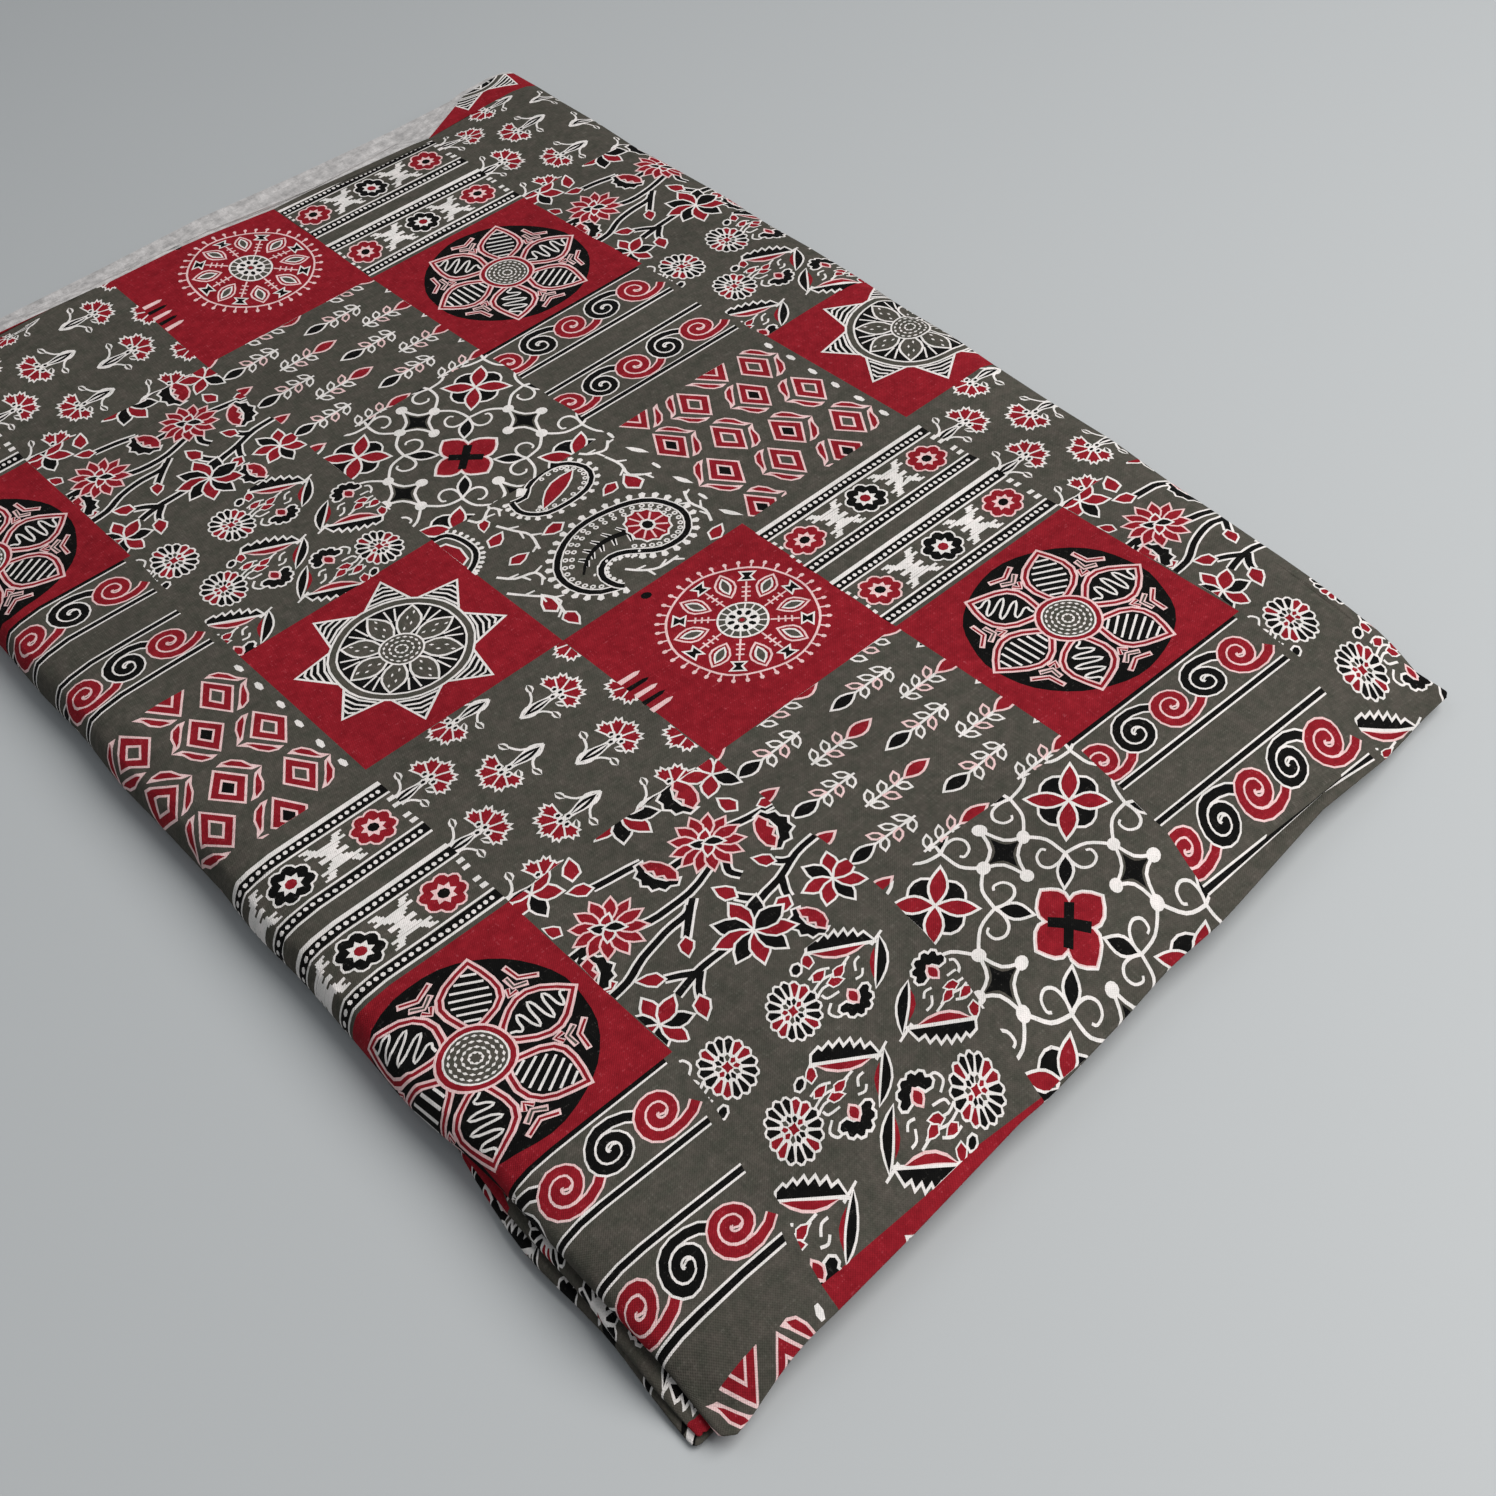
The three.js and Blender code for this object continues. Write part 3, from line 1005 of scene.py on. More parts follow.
STEM = 0.03
STEMS = [
    [(0.28, 0.515), (0.38, 0.485), (0.54, 0.49), (0.68, 0.535)],
    [(-0.02, 0.575), (0.06, 0.575), (0.14, 0.57)],
    [(0.0, 0.52), (0.05, 0.55), (0.11, 0.575)],
    [(0.85, 0.635), (0.95, 0.61), (1.06, 0.59)],
    [(-0.02, 0.315), (0.1, 0.33), (0.21, 0.385), (0.34, 0.41), (0.46, 0.415), (0.53, 0.46)],
    [(0.5, 0.44), (0.44, 0.385), (0.385, 0.33)],
    [(0.19, 0.155), (0.3, 0.175), (0.42, 0.185), (0.52, 0.19)],
    [(0.3, 0.175), (0.25, 0.215), (0.2, 0.245)],
    [(0.32, 0.17), (0.27, 0.12), (0.25, 0.085)],
    [(0.61, 0.21), (0.7, 0.265), (0.82, 0.29), (0.95, 0.335), (1.06, 0.35)],
    [(0.7, 0.265), (0.66, 0.31), (0.64, 0.345)],
    [(0.83, 0.29), (0.8, 0.235), (0.79, 0.2)],
    [(0.92, 0.325), (0.89, 0.345), (0.87, 0.375)],
    [(0.735, 0.51), (0.71, 0.455), (0.73, 0.405)],
    [(0.29, 0.785), (0.4, 0.765), (0.5, 0.74)],
    [(0.56, 0.64), (0.6, 0.64), (0.64, 0.64)],
]
STEM_BUDS = [
    (0.29, 0.785, 150, 0.95), (0.385, 0.335, 240, 0.9), (0.2, 0.245, 140, 1.0),
    (0.25, 0.09, 245, 1.0), (0.64, 0.34, 105, 1.0), (0.79, 0.205, 200, 0.95),
    (0.87, 0.37, 125, 0.9), (0.26, 0.87, 60, 1.05), (0.94, 0.68, 100, 1.0),
    (1.02, 0.63, 340, 0.8), (0.06, 0.69, 115, 0.8), (0.07, 0.36, 160, 0.8),
]
FANS = [
    (0.52, 0.655, 18, 1.0), (0.95, 0.505, -200, 1.05), (0.85, 0.895, -15, 1.1),
    (0.02, 0.46, 150, 1.0), (0.78, 0.06, 5, 0.9),
]
# Each open flower's petals in order, red or black, its radius, first angle and place
OPEN_FLOWERS = [
    ("brbrbrbrb", 0.16, 45, (0.585, 0.175)),
    ("rbrbrbr", 0.13, 80, (0.06, 0.1)),
    ("rbrrbrr", 0.125, 60, (0.965, 0.14)),
    ("rbrrbr", 0.13, 200, (0.1, 0.94)),
    ("rbrbrbrb", 0.15, 190, (0.6, 0.99)),
    ("rrbrr", 0.125, 150, (1.0, 0.9)),
]


def lotus(petals, radius):
    stamp = []
    for k in range(petals):
        outer = petal(0.03, radius, 360 * k / petals + 20, 0.051, 3)
        stamp += edged("red", outer, 0.0085, "blush")
    for k in range(4):
        inner = petal(-0.008, 0.064, 90 * k + 50, 0.038, 3, 0.006)
        stamp += edged("black" if k % 2 else "red", inner, 0.0085)
    return stamp


def open_flower(letters, radius, first):
    """A many-petalled flower seen from the side."""
    stamp = []
    for k, letter in enumerate(letters):
        outline = petal(0.006, radius, first + 360 * k / len(letters), radius * 0.5, 3)
        stamp += edged("red" if letter == "r" else "black", outline, 0.0095)
    return stamp


def fan_bloom():
    """A red fan in a black scalloped cup, seen from the side and opening to the right."""
    cup = [ray(0.1 if k % 2 else 0.086, 88 + 184 * k / 12, (0.004, 0.0)) for k in range(13)]
    stamp = edged("black", [*cup, (-0.03, -0.05), (-0.042, 0.0), (-0.03, 0.05)], 0.0095)
    fan = [
        (0.0, 0.078), (0.026, 0.058), (0.04, 0.02), (0.04, -0.02), (0.026, -0.058),
        (0.0, -0.078), (-0.018, -0.045), (-0.006, -0.024), (-0.026, 0.0),
        (-0.006, 0.024), (-0.018, 0.045),
    ]
    return stamp + edged("red", fan, 0.009, "blush")


def lotus_block():
    stamp = curves("white", STEMS, STEM + 2 * EDGE) + curves("black", STEMS, STEM, STEM * 0.8)
    stamp += scattered(bud(), STEM_BUDS) + scattered(fan_bloom(), FANS)
    stamp += placed(lotus(12, 0.145), (0.21, 0.585))
    stamp += placed(lotus(13, 0.143), (0.745, 0.632))
    for letters, radius, first, at in OPEN_FLOWERS:
        stamp += placed(open_flower(letters, radius, first), at)
    return placed(stamp, (-0.02, 0.03))


# ------------------------------
# The carnation block: small sprays with a toothed red flower head, facing right and left in
# turn, on white looped stalks.

SPRAY_A = 0.68
SPRAY_B = 0.385


def carnation():
    """A spray that faces right: the head at the origin, the stalk's point at the left."""
    stamp = curves("white", [
        [(-0.25, 0.0), (-0.2, -0.03), (-0.12, -0.012), (-0.05, -0.006)],
        [(-0.25, 0.0), (-0.2, 0.03), (-0.12, 0.012), (-0.05, 0.006)],
    ], 0.013)
    stamp += curves("white", [
        [(-0.22, 0.015), (-0.16, 0.045), (-0.13, 0.1)],
        [(-0.22, -0.015), (-0.16, -0.04), (-0.13, -0.09)],
    ], 0.011)
    stamp += edged("black", leaf((-0.232, 0.0), (-0.085, 0.0), 0.04, 4), 0.007)
    stamp += [("white", leaf((-0.2, 0.0), (-0.08, 0.0), 0.012, 2))]
    for foot, tip in (
        ((-0.13, 0.08), (-0.115, 0.135)),
        ((-0.13, -0.07), (-0.135, -0.13)),
        ((-0.09, -0.035), (-0.055, -0.085)),
    ):
        stamp += [("white", leaf(foot, tip, 0.04, 2)), ("ground", leaf(foot, tip, 0.016, 2))]
    toothed = [
        (0.014, 0), (0.05, -17), (0.09, -18), (0.086, -11), (0.106, -6),
        (0.092, 0), (0.106, 6), (0.086, 11), (0.09, 18), (0.05, 17),
    ]
    petals = []
    for k in range(5):
        outline = [ray(reach, -84 + 42 * k + turn) for reach, turn in toothed]
        petals.append([(a - 0.045, b) for a, b in outline])
    stamp += [("white", grown(outline, 0.0085)) for outline in petals]
    stamp += [("red", outline) for outline in petals]
    for at in ((-0.035, 0.0), (-0.045, 0.03), (-0.045, -0.03), (-0.075, 0.0)):
        stamp += edged("black", oval(at, 0.012, 0.009, 5), 0.008)
    return stamp


def carnation_block():
    stamp = []
    for row in range(-1, 4):
        for column in range(-1, 2):
            for a, b, facing in ((0.2, 0.76, 1), (0.355, 0.565, -1)):
                at = (a + SPRAY_A * column, b - SPRAY_B * row)
                stamp += placed(carnation(), at, flip_a=facing)
    return stamp


# ------------------------------
# The daisy block: round many-petalled daisies, each with a toothed black leaf, a curled
# flower and small red buds beside it, facing right and left.

DAISY = 0.118
DAISY_PETALS = 16
DAISY_TWIGS = [
    [(0.1, 0.01), (0.16, 0.03), (0.22, 0.02), (0.3, 0.035)],
    [(0.1, -0.02), (0.14, 0.0), (0.2, -0.005), (0.27, 0.025)],
    [(0.12, 0.06), (0.17, 0.07), (0.21, 0.05)],
    [(0.13, -0.07), (0.1, -0.1), (0.115, -0.135), (0.14, -0.135), (0.145, -0.115)],
    [(0.18, -0.05), (0.13, -0.045), (0.12, -0.02)],
    [(0.28, -0.03), (0.3, 0.0), (0.33, 0.005)],
    [(0.26, -0.055), (0.29, -0.06), (0.31, -0.04)],
]
DAISY_BUDS = [
    (0.13, 0.045, 10, 0.62), (0.165, 0.005, -25, 0.62), (0.2, 0.01, 12, 0.6), (0.155, 0.1, 60, 0.66),
]
DAISY_GROUPS = [
    ((0.455, 0.825), 1), ((0.189, 0.456), 1), ((0.127, 0.81), -1),
    ((1.18, 0.488), -1), ((0.85, 0.148), -1), ((-0.2, 0.14), 1),
]


def daisy():
    """A little taller than it is wide."""
    outer = [(0.47, -4), (0.7, -8), (0.88, -8.6), (0.96, 0), (0.88, 8.6), (0.7, 8), (0.47, 4)]
    inner = [(0.2, -8), (0.34, -15), (0.43, 0), (0.34, 15), (0.2, 8)]
    back = lobed(DAISY_PETALS, DAISY * 1.04, DAISY * 0.92, 3, math.pi / DAISY_PETALS)
    stamp = [("white", back)]
    for k in range(DAISY_PETALS):
        ink = "red" if k in (1, 2, 8, 9, 13) else "black"
        angle = 360 * k / DAISY_PETALS
        stamp += [(ink, [ray(DAISY * reach, angle + turn) for reach, turn in outer])]
    for k in range(10):
        ink = "red" if k in (0, 4, 5) else "ground" if k % 3 == 0 else "black"
        stamp += [(ink, [ray(DAISY * reach, 36 * k + 10 + turn) for reach, turn in inner])]
    stamp += [("red", lobed(4, DAISY * 0.2, DAISY * 0.12, 2))]
    return [(ink, [(0.92 * a, 1.12 * b) for a, b in outline]) for ink, outline in stamp]


def toothed_leaf():
    """Black above with teeth and red below a white rib, from the origin to its point."""
    teeth = [(0.0, 0.0)]
    for k in range(6):
        share = (k + 0.7) / 6.6
        height = 0.048 * math.sin(math.pi * (0.18 + 0.74 * share)) + 0.012
        teeth += [(0.235 * share - 0.022, height * 0.62), (0.235 * share + 0.002, height)]
    stamp = edged("black", [*teeth, (0.236, 0.0)], 0.0095)
    below = leaf((0.012, -0.004), (0.205, -0.004), 0.026, 4, -0.016)
    stamp += edged("red", below, 0.009, "blush")
    return stamp + drawn("white", [(-0.004, 0.0), (0.24, 0.0)], 0.011)


def small_flower():
    """A black scalloped cup that opens upwards round a red heart."""
    cup = []
    for k in range(19):
        cup.append(ray(0.06 + 0.014 * abs(math.sin(math.pi * k / 3)), 165 + 210 * k / 18))
    cup += [(0.034, 0.012), (0.02, -0.014), (0.0, -0.022), (-0.02, -0.014), (-0.034, 0.012)]
    heart = leaf((0.0, -0.016), (0.004, 0.04), 0.038, 3)
    return edged("black", cup, 0.0095) + edged("red", heart, 0.0085, "blush")


def daisy_group():
    """A group that faces right: its daisy at the origin, the leaves' point at the right."""
    stamp = curves("white", DAISY_TWIGS, 0.0105) + scattered(bud(), DAISY_BUDS)
    stamp += edged("black", oval((0.115, 0.125), 0.024, 0.017, 7, 0.6), 0.009)
    stamp += placed(small_flower(), (0.212, -0.115), 6, 1.04)
    stamp += placed(toothed_leaf(), (0.193, 0.153), -31, 1.13)
    stamp += edged("black", leaf((0.31, -0.138), (0.45, 0.018), 0.038, 5, -0.012), 0.0095)
    stamp += [("red", leaf((0.322, -0.108), (0.405, -0.004), 0.02, 3, 0.012))]
    stamp += drawn("white", [(0.4, 0.01), (0.475, 0.035)], 0.013, 0.01)
    return stamp + daisy()


def daisy_block():
    stamp = []
    for at, facing in DAISY_GROUPS:
        stamp += placed(daisy_group(), at, flip_a=facing, flip_b=facing)
    return stamp


# ------------------------------
# The round medallion block, a plain geometric one: on red, a black disc with petals that are
# ruled and waved by turns round a stitched grey heart.

MEDALLION_AT = (0.53, 0.495)
MEDALLION_REACH = 0.445
FILLING = 0.0105               # the lines that fill a petal or a point of a star


def stitches(rings, radius):
    """Rings of short white running stitches."""
    stamp = []
    for ring in range(1, rings + 1):
        reach = radius * ring / (rings + 0.6)
        count = 4 + 4 * ring
        for k in range(count):
            angle = math.tau * (k + 0.3 * ring) / count
            at = (reach * math.cos(angle), reach * math.sin(angle))
            stamp += [("white", oval(at, 0.006, 0.0125, 4, angle))]
    return stamp


def half_petal(at):
    return math.sin(math.pi * (at - 0.1) / 0.345)


def medallion_petal(ruled):
    outline = leaf((0.1, 0.0), (MEDALLION_REACH, 0.0), 0.235, 6)
    stamp = [("blush", grown(outline, 0.011)), ("red", outline)]
    stamp += [("blush", grown(outline, -0.014)), ("black", grown(outline, -0.023))]
    if ruled:
        for step in range(7):
            at = 0.165 + 0.036 * step
            half = 0.105 * half_petal(at) - 0.027
            stamp += drawn("white", [(at, -half), (at, half)], FILLING)
        return stamp
    winding = [(0.15, 0.0)]
    for step in range(8):
        at = 0.17 + 0.03 * step
        half = max(0.1 * half_petal(at) - 0.034, 0.012)
        side = 1 if step % 2 else -1
        winding += [(at, side * half * 0.4), (at + 0.012, side * half), (at + 0.026, side * half * 0.55)]
    return stamp + drawn("white", curve(winding, 2), FILLING)


def medallion():
    stamp = discs(44, ("black", MEDALLION_REACH))
    for k in range(6):
        stamp += placed(medallion_petal(k % 2), turn=60 * k)
    chevrons = []
    for step, half in enumerate((0.028, 0.058, 0.088)):
        at = 0.31 + 0.045 * step
        for ink, share, width in (("blush", 0.8, 0.026), ("ground" if step % 2 else "red", 0.7, 0.01)):
            chevrons += drawn(ink, [(at, -half * share), (at - 0.03, 0.0), (at, half * share)], width)
    stamp += around(chevrons, 6, 30)
    stamp += discs(26, ("blush", 0.148), ("red", 0.138))
    return stamp + discs(24, ("white", 0.118), ("ground", 0.11)) + stitches(4, 0.11)


def medallion_block():
    return RED_GROUND + placed(medallion(), MEDALLION_AT)


# ------------------------------
# The star block, also plain geometry: on red, a ruled star of eight points round a grey ring
# that holds a stitched rosette.

STAR_AT = (0.53, 0.5)
STAR_POINTS = 8


def striped_point():
    """One point of the star along A, ruled across with white lines on black."""
    half = 0.305 * math.tan(math.pi / STAR_POINTS)
    stamp = [("white", [(0.27, -half - 0.012), (0.482, 0.0), (0.27, half + 0.012)])]
    stamp += [("black", [(0.27, -half + 0.002), (0.462, 0.0), (0.27, half - 0.002)])]
    for step in range(4):
        at = 0.332 + 0.029 * step
        reach = half * (0.462 - at) / 0.19
        stamp += drawn("white", [(at, -reach), (at + 0.012, 0.0), (at, reach)], FILLING)
    return stamp


def star_medallion():
    stamp = around(striped_point(), STAR_POINTS, 22.5)
    stamp += discs(36, ("white", 0.332), ("ground", 0.321), ("white", 0.292), ("black", 0.282))
    part = [("white", leaf((0.06, 0.0), (0.285, 0.0), 0.125, 5))]
    part += [("ground", leaf((0.075, 0.0), (0.27, 0.0), 0.102, 5))]
    for step in range(4):
        at = (0.13 + 0.034 * step, 0.012 * (-1) ** step)
        part += [("white", oval(at, 0.012, 0.0055, 4))]
    for off in (-0.5, 0.5):
        part += drawn("white", [ray(0.19, 22.5 + off * 6), ray(0.272, 22.5 + off * 11)], 0.009)
    stamp += around(part, 8)
    return stamp + discs(22, ("white", 0.104), ("ground", 0.095)) + stitches(3, 0.095)


def star_block():
    return RED_GROUND + placed(star_medallion(), STAR_AT)


# ------------------------------
# The cloth's net: stations along the cloth and rows across it, close together in the folds.
# Its edges are the cloth's own cut ends and selvages.

LAP_SHARES = (0.0, 0.012, 0.035, 0.08, 0.2, 0.35, 0.5, 0.65, 0.8, 0.92, 0.965, 0.988, 1.0)
FOLD_STEPS = 9
FRONT_ROWS = (0.0, 0.5, 1.0, QUARTER, 4.0, 9.0, 18.0, 30.0)
BACK_ROWS = (36.0, 24.0)       # from the selvage's edge
SELVAGE_ROWS = (2.0, 1.0, 0.0)
MIDDLE_ROWS = 11
TOP_PITCH = 7.0                # between the loose points of the net on the top lap
OPEN_TO = 120.0                # up to this X no line of the net crosses the top lap's print


def station_lengths(along):
    """U of every station at these shares of the width, from the hidden end on."""
    arc = math.pi * (fold_radius(0) + PLY)
    right_end = lap_end(0, along)
    hidden = bow(LEFT_EDGE, along) + HIDDEN_END
    at = right_end + PRINT_AT[0]
    lengths = [at + arc + (right_end - hidden) * (1 - share) for share in LAP_SHARES]
    lengths += [at + arc * (1 - k / FOLD_STEPS) for k in range(1, FOLD_STEPS)]
    start = right_end
    for i in range(TOP_LAP, LAST_LAP + 1):
        run = abs(lap_end(i, along) - start)
        lengths += [at - run * share for share in LAP_SHARES]
        start = lap_end(i, along)
        at = at - run
        if i < LAST_LAP:
            arc = math.pi * (fold_radius(i) + PLY)
            lengths += [at - arc * k / FOLD_STEPS for k in range(1, FOLD_STEPS)]
            at = at - arc
    return np.array(lengths)


station_laps = []
for i in range(len(LAPS)):
    station_laps += [float(i)] * len(LAP_SHARES)
    if i < LAST_LAP:
        station_laps += [i + k / FOLD_STEPS for k in range(1, FOLD_STEPS)]
station_laps = np.array(station_laps)
stations = np.arange(len(station_laps))
middle_lengths = station_lengths(0.5)
middle_x = section(middle_lengths, np.full_like(middle_lengths, 0.5))[0]
widths = width_of(middle_x, station_laps)
middle_width = widths - FRONT_ROWS[-1] - BACK_ROWS[0]
half_rows = [np.full_like(widths, row) for row in FRONT_ROWS]
for k in range(1, MIDDLE_ROWS + 1):
    half_rows.append(FRONT_ROWS[-1] + middle_width * k / (MIDDLE_ROWS + 1))
half_rows += [widths - row for row in (*BACK_ROWS, UNPRINTED, *SELVAGE_ROWS)]
half_rows = np.array(half_rows)
net_off = np.concatenate((-half_rows[:0:-1], half_rows))
short_by = printed_width(middle_x, station_laps) - widths + UNPRINTED
selvage_rows = len(SELVAGE_ROWS)
net_off[-1 - selvage_rows] += short_by * falls_short(middle_x, station_laps)
net_off[selvage_rows] += REVERSE * (0.2 + 0.8 * bump((middle_x - REVERSE_AT) / REVERSE_HALF))
net_along = np.clip(np.abs(net_off) / HALF_WIDTH, 0, 1)
net_u = station_lengths(net_along)[stations, :, stations].T
net_x, _, _, _, net_lap = section(net_u, net_along)
net_v = net_off + front_of(net_x, net_lap) + PRINT_AT[1] - FOLD_GAIN
rows_in_net, stations_in_net = net_u.shape

# ------------------------------
# Printing the cloth: each block is cut to its own rectangle and set down in its column and
# row. The printer's hand drifts a little along the way, and the grid leans near the front.

COLUMNS = [
    [diamond_block, scroll_block, medallion_block, flower_stripe_block],
    [star_block, daisy_block, lotus_block, carnation_block],
    [paisley_block, lattice_block, sprig_block, wheel_block],
]
FIRST_ROW = 2                  # a row at which the columns' blocks start again
BLOCK_MM = BLOCK_WIDE * CELL
BLOCK_PLACES = np.stack(np.meshgrid(np.linspace(0, BLOCK_MM, 20), np.linspace(0, CELL, 20)), -1)

# The least area of a shape that is still drawn, in square millimetres: anywhere, and where
# only the left folds, the other folds and edges, or the underside show
SPECK = 0.12
LEFT_SHAPE = 3.0
FOLD_SHAPE = 30.0
UNDER_SHAPE = 400.0

# How far in from the left, right and centre folds the print is still in sight there
SEEN_LEFT = 3.0
SEEN_RIGHT = 7.0
SEEN_FRONT = 4.0
TOP_FOLDS = 0.98               # how much of its side folds the top lap's print takes in
PAST_SELVAGE = 3.0             # nothing is drawn this far past the selvages
LEAN = -13.5
DRIFT = 0.047
UNEVEN_HAND = (0.22, 0.2)


def cut(outline, axis, limit, keep_above):
    """Cuts an outline off along a line of the block's rectangle."""
    kept = []
    for p, q in zip(outline, outline[1:] + outline[:1]):
        p_in = (p[axis] >= limit) == keep_above
        q_in = (q[axis] >= limit) == keep_above
        if p_in:
            kept.append(p)
        if p_in != q_in:
            share = (limit - p[axis]) / (q[axis] - p[axis])
            kept.append(tuple(p[i] + (q[i] - p[i]) * share for i in (0, 1)))
    return kept


def trimmed(stamp):
    """A block's stamp in millimetres, cut to its rectangle, anticlockwise, without specks:
    a list of (ink, outline, area)."""
    kept = []
    for ink, outline in stamp:
        for axis, limit in ((0, BLOCK_WIDE), (1, 1.0)):
            if outline and min(p[axis] for p in outline) < 0:
                outline = cut(outline, axis, 0.0, True)
            if outline and max(p[axis] for p in outline) > limit:
                outline = cut(outline, axis, limit, False)
        if len(outline) < 3:
            continue
        points = np.array(outline) * CELL
        following = np.roll(points, -1, axis=0)
        area = (points[:, 0] * following[:, 1] - points[:, 1] * following[:, 0]).sum() / 2
        if abs(area) < SPECK:
            continue
        if area < 0:
            points = points[::-1]
        kept.append((INKS.index(ink), points, abs(area)))
    return kept


def hand_drawn(u, v):
    """The small unevenness of carving and printing by hand, and the grid's lean in front."""
    lean = LEAN * np.clip(0.15 - v / CELL, 0, 1.6) ** 1.5
    first, second = UNEVEN_HAND
    du = first * np.sin(v / 3.1 + u / 11.0) + second * np.sin(u / 5.3 - v / 7.9)
    dv = first * np.sin(u / 3.7 - v / 13.0) + second * np.sin(v / 4.9 + u / 9.1)
    drift = DRIFT * np.maximum(v - 4 * CELL, 0)
    return u + lean + du, v + drift + dv


def least_area(u, v):
    """How small a shape is still drawn at these places: any size on the top lap, and none
    inside the pack."""
    x, _, _, _, lap, off, _, _ = fold_up(u, v)
    along = np.clip(np.abs(off) / HALF_WIDTH, 0, 1)
    width = width_of(x, lap)
    top = (np.abs(lap - TOP_LAP) < TOP_FOLDS) & (off > -SEEN_FRONT - 1)
    left = (x < bow(LEFT_EDGE, along) + SEEN_LEFT) & (off > 0)
    right = (x > bow(RIGHT_EDGE, along) - SEEN_RIGHT) & (off < 0) & (lap > TOP_LAP)
    front = np.abs(off) < SEEN_FRONT
    back = width - np.abs(off) < BACK_ROWS[1]
    under = (lap > LAST_LAP - 0.4) & (off < 0)
    area = np.where(right | front | back, FOLD_SHAPE, np.where(under, UNDER_SHAPE, np.inf))
    area = np.where(left, LEFT_SHAPE, area)
    return np.where(np.abs(off) > width + PAST_SELVAGE, np.inf, np.where(top, 0.0, area))


stamps = [[trimmed(block()) for block in column] for column in COLUMNS]
outlines = []
inks = []
areas = []
first_column = math.floor(net_u.min() / BLOCK_MM) - 1
last_column = math.floor(net_u.max() / BLOCK_MM) + 1
first_row = math.floor(net_v.min() / CELL) - 1
last_row = math.floor(net_v.max() / CELL) + 1
for column in range(first_column, last_column + 1):
    for row in range(first_row, last_row + 1):
        corner = np.array([column * BLOCK_MM, row * CELL])
        least = least_area(*hand_drawn(*(BLOCK_PLACES.reshape(-1, 2) + corner).T)).min()
        for ink, points, area in stamps[column % 3][(row - FIRST_ROW) % 4]:
            if area >= least:
                outlines.append(np.stack(hand_drawn(*(points + corner).T), 1))
                inks.append(ink)
                areas.append(area)

corners = np.concatenate(outlines)
counts = np.array([len(outline) for outline in outlines])
starts = np.cumsum(counts) - counts
least = np.minimum.reduceat(least_area(corners[:, 0], corners[:, 1]), starts)
chosen = np.flatnonzero(np.array(areas) >= least)

# ------------------------------
# The cloth's mesh: the net and the outlines of the print joined into one sheet of triangles,
# each inked as the last shape that covers it, and then folded up.

net_index = np.arange(net_u.size).reshape(net_u.shape)
flat_points = list(zip(net_u.ravel(), net_v.ravel()))
on_top = station_laps == TOP_LAP
inner_station = on_top & (np.abs(middle_x) < OPEN_TO)
edges = []
for r in range(rows_in_net):
    for s in range(stations_in_net):
        off = net_off[r, s]
        open_print = off > FRONT_ROWS[4] + 0.1 and r < rows_in_net - selvage_rows - 1
        if r + 1 < rows_in_net and not (inner_station[s] and off > 0):
            edges.append((int(net_index[r, s]), int(net_index[r + 1, s])))
        if s + 1 < stations_in_net and not (on_top[s] and on_top[s + 1] and open_print):
            edges.append((int(net_index[r, s]), int(net_index[r, s + 1])))

left_most = lap_end(TOP_LAP, 0.5) + PRINT_AT[0]
right_most = lap_end(0, 0.5) + PRINT_AT[0]
nearest = net_v[rows_in_net // 2].min() + FRONT_ROWS[-1]
furthest = net_v[-1][on_top].max() - BACK_ROWS[1]
for u in np.arange(left_most, right_most, TOP_PITCH):
    flat_points += [(u, v) for v in np.arange(nearest, furthest, TOP_PITCH)]


def between_rows(low, high):
    """The border of the net's part between two of its rows."""
    right_side = net_index[low + 1:high, 0]
    left_side = net_index[low + 1:high, -1][::-1]
    loop = [*net_index[low, ::-1], *right_side, *net_index[high], *left_side]
    return [int(i) for i in loop]


last_net_row = rows_in_net - 1
net_points = np.array(flat_points)
cloth_edge = (0, net_points[between_rows(0, last_net_row)])
selvages = [
    (INKS.index("reverse"), net_points[between_rows(low, high)])
    for low, high in ((0, selvage_rows), (last_net_row - selvage_rows, last_net_row))
]
print_shapes = [(inks[i], outlines[i]) for i in chosen]
shape_points = []
shape_edges = []
for _, outline in print_shapes:
    first = len(flat_points) + len(shape_points)
    count = len(outline)
    shape_points += [tuple(point) for point in outline]
    shape_edges += [(first + k, first + (k + 1) % count) for k in range(count)]

# A triangle takes the ink of the last shape that its middle lies in
shapes = [cloth_edge, *print_shapes, *selvages]
INSIDE = 1                     # keep the triangles within the outermost edges
NEAR = 0.03                    # places closer than this are one
OUTSIDE = -1
BIN = 4.0


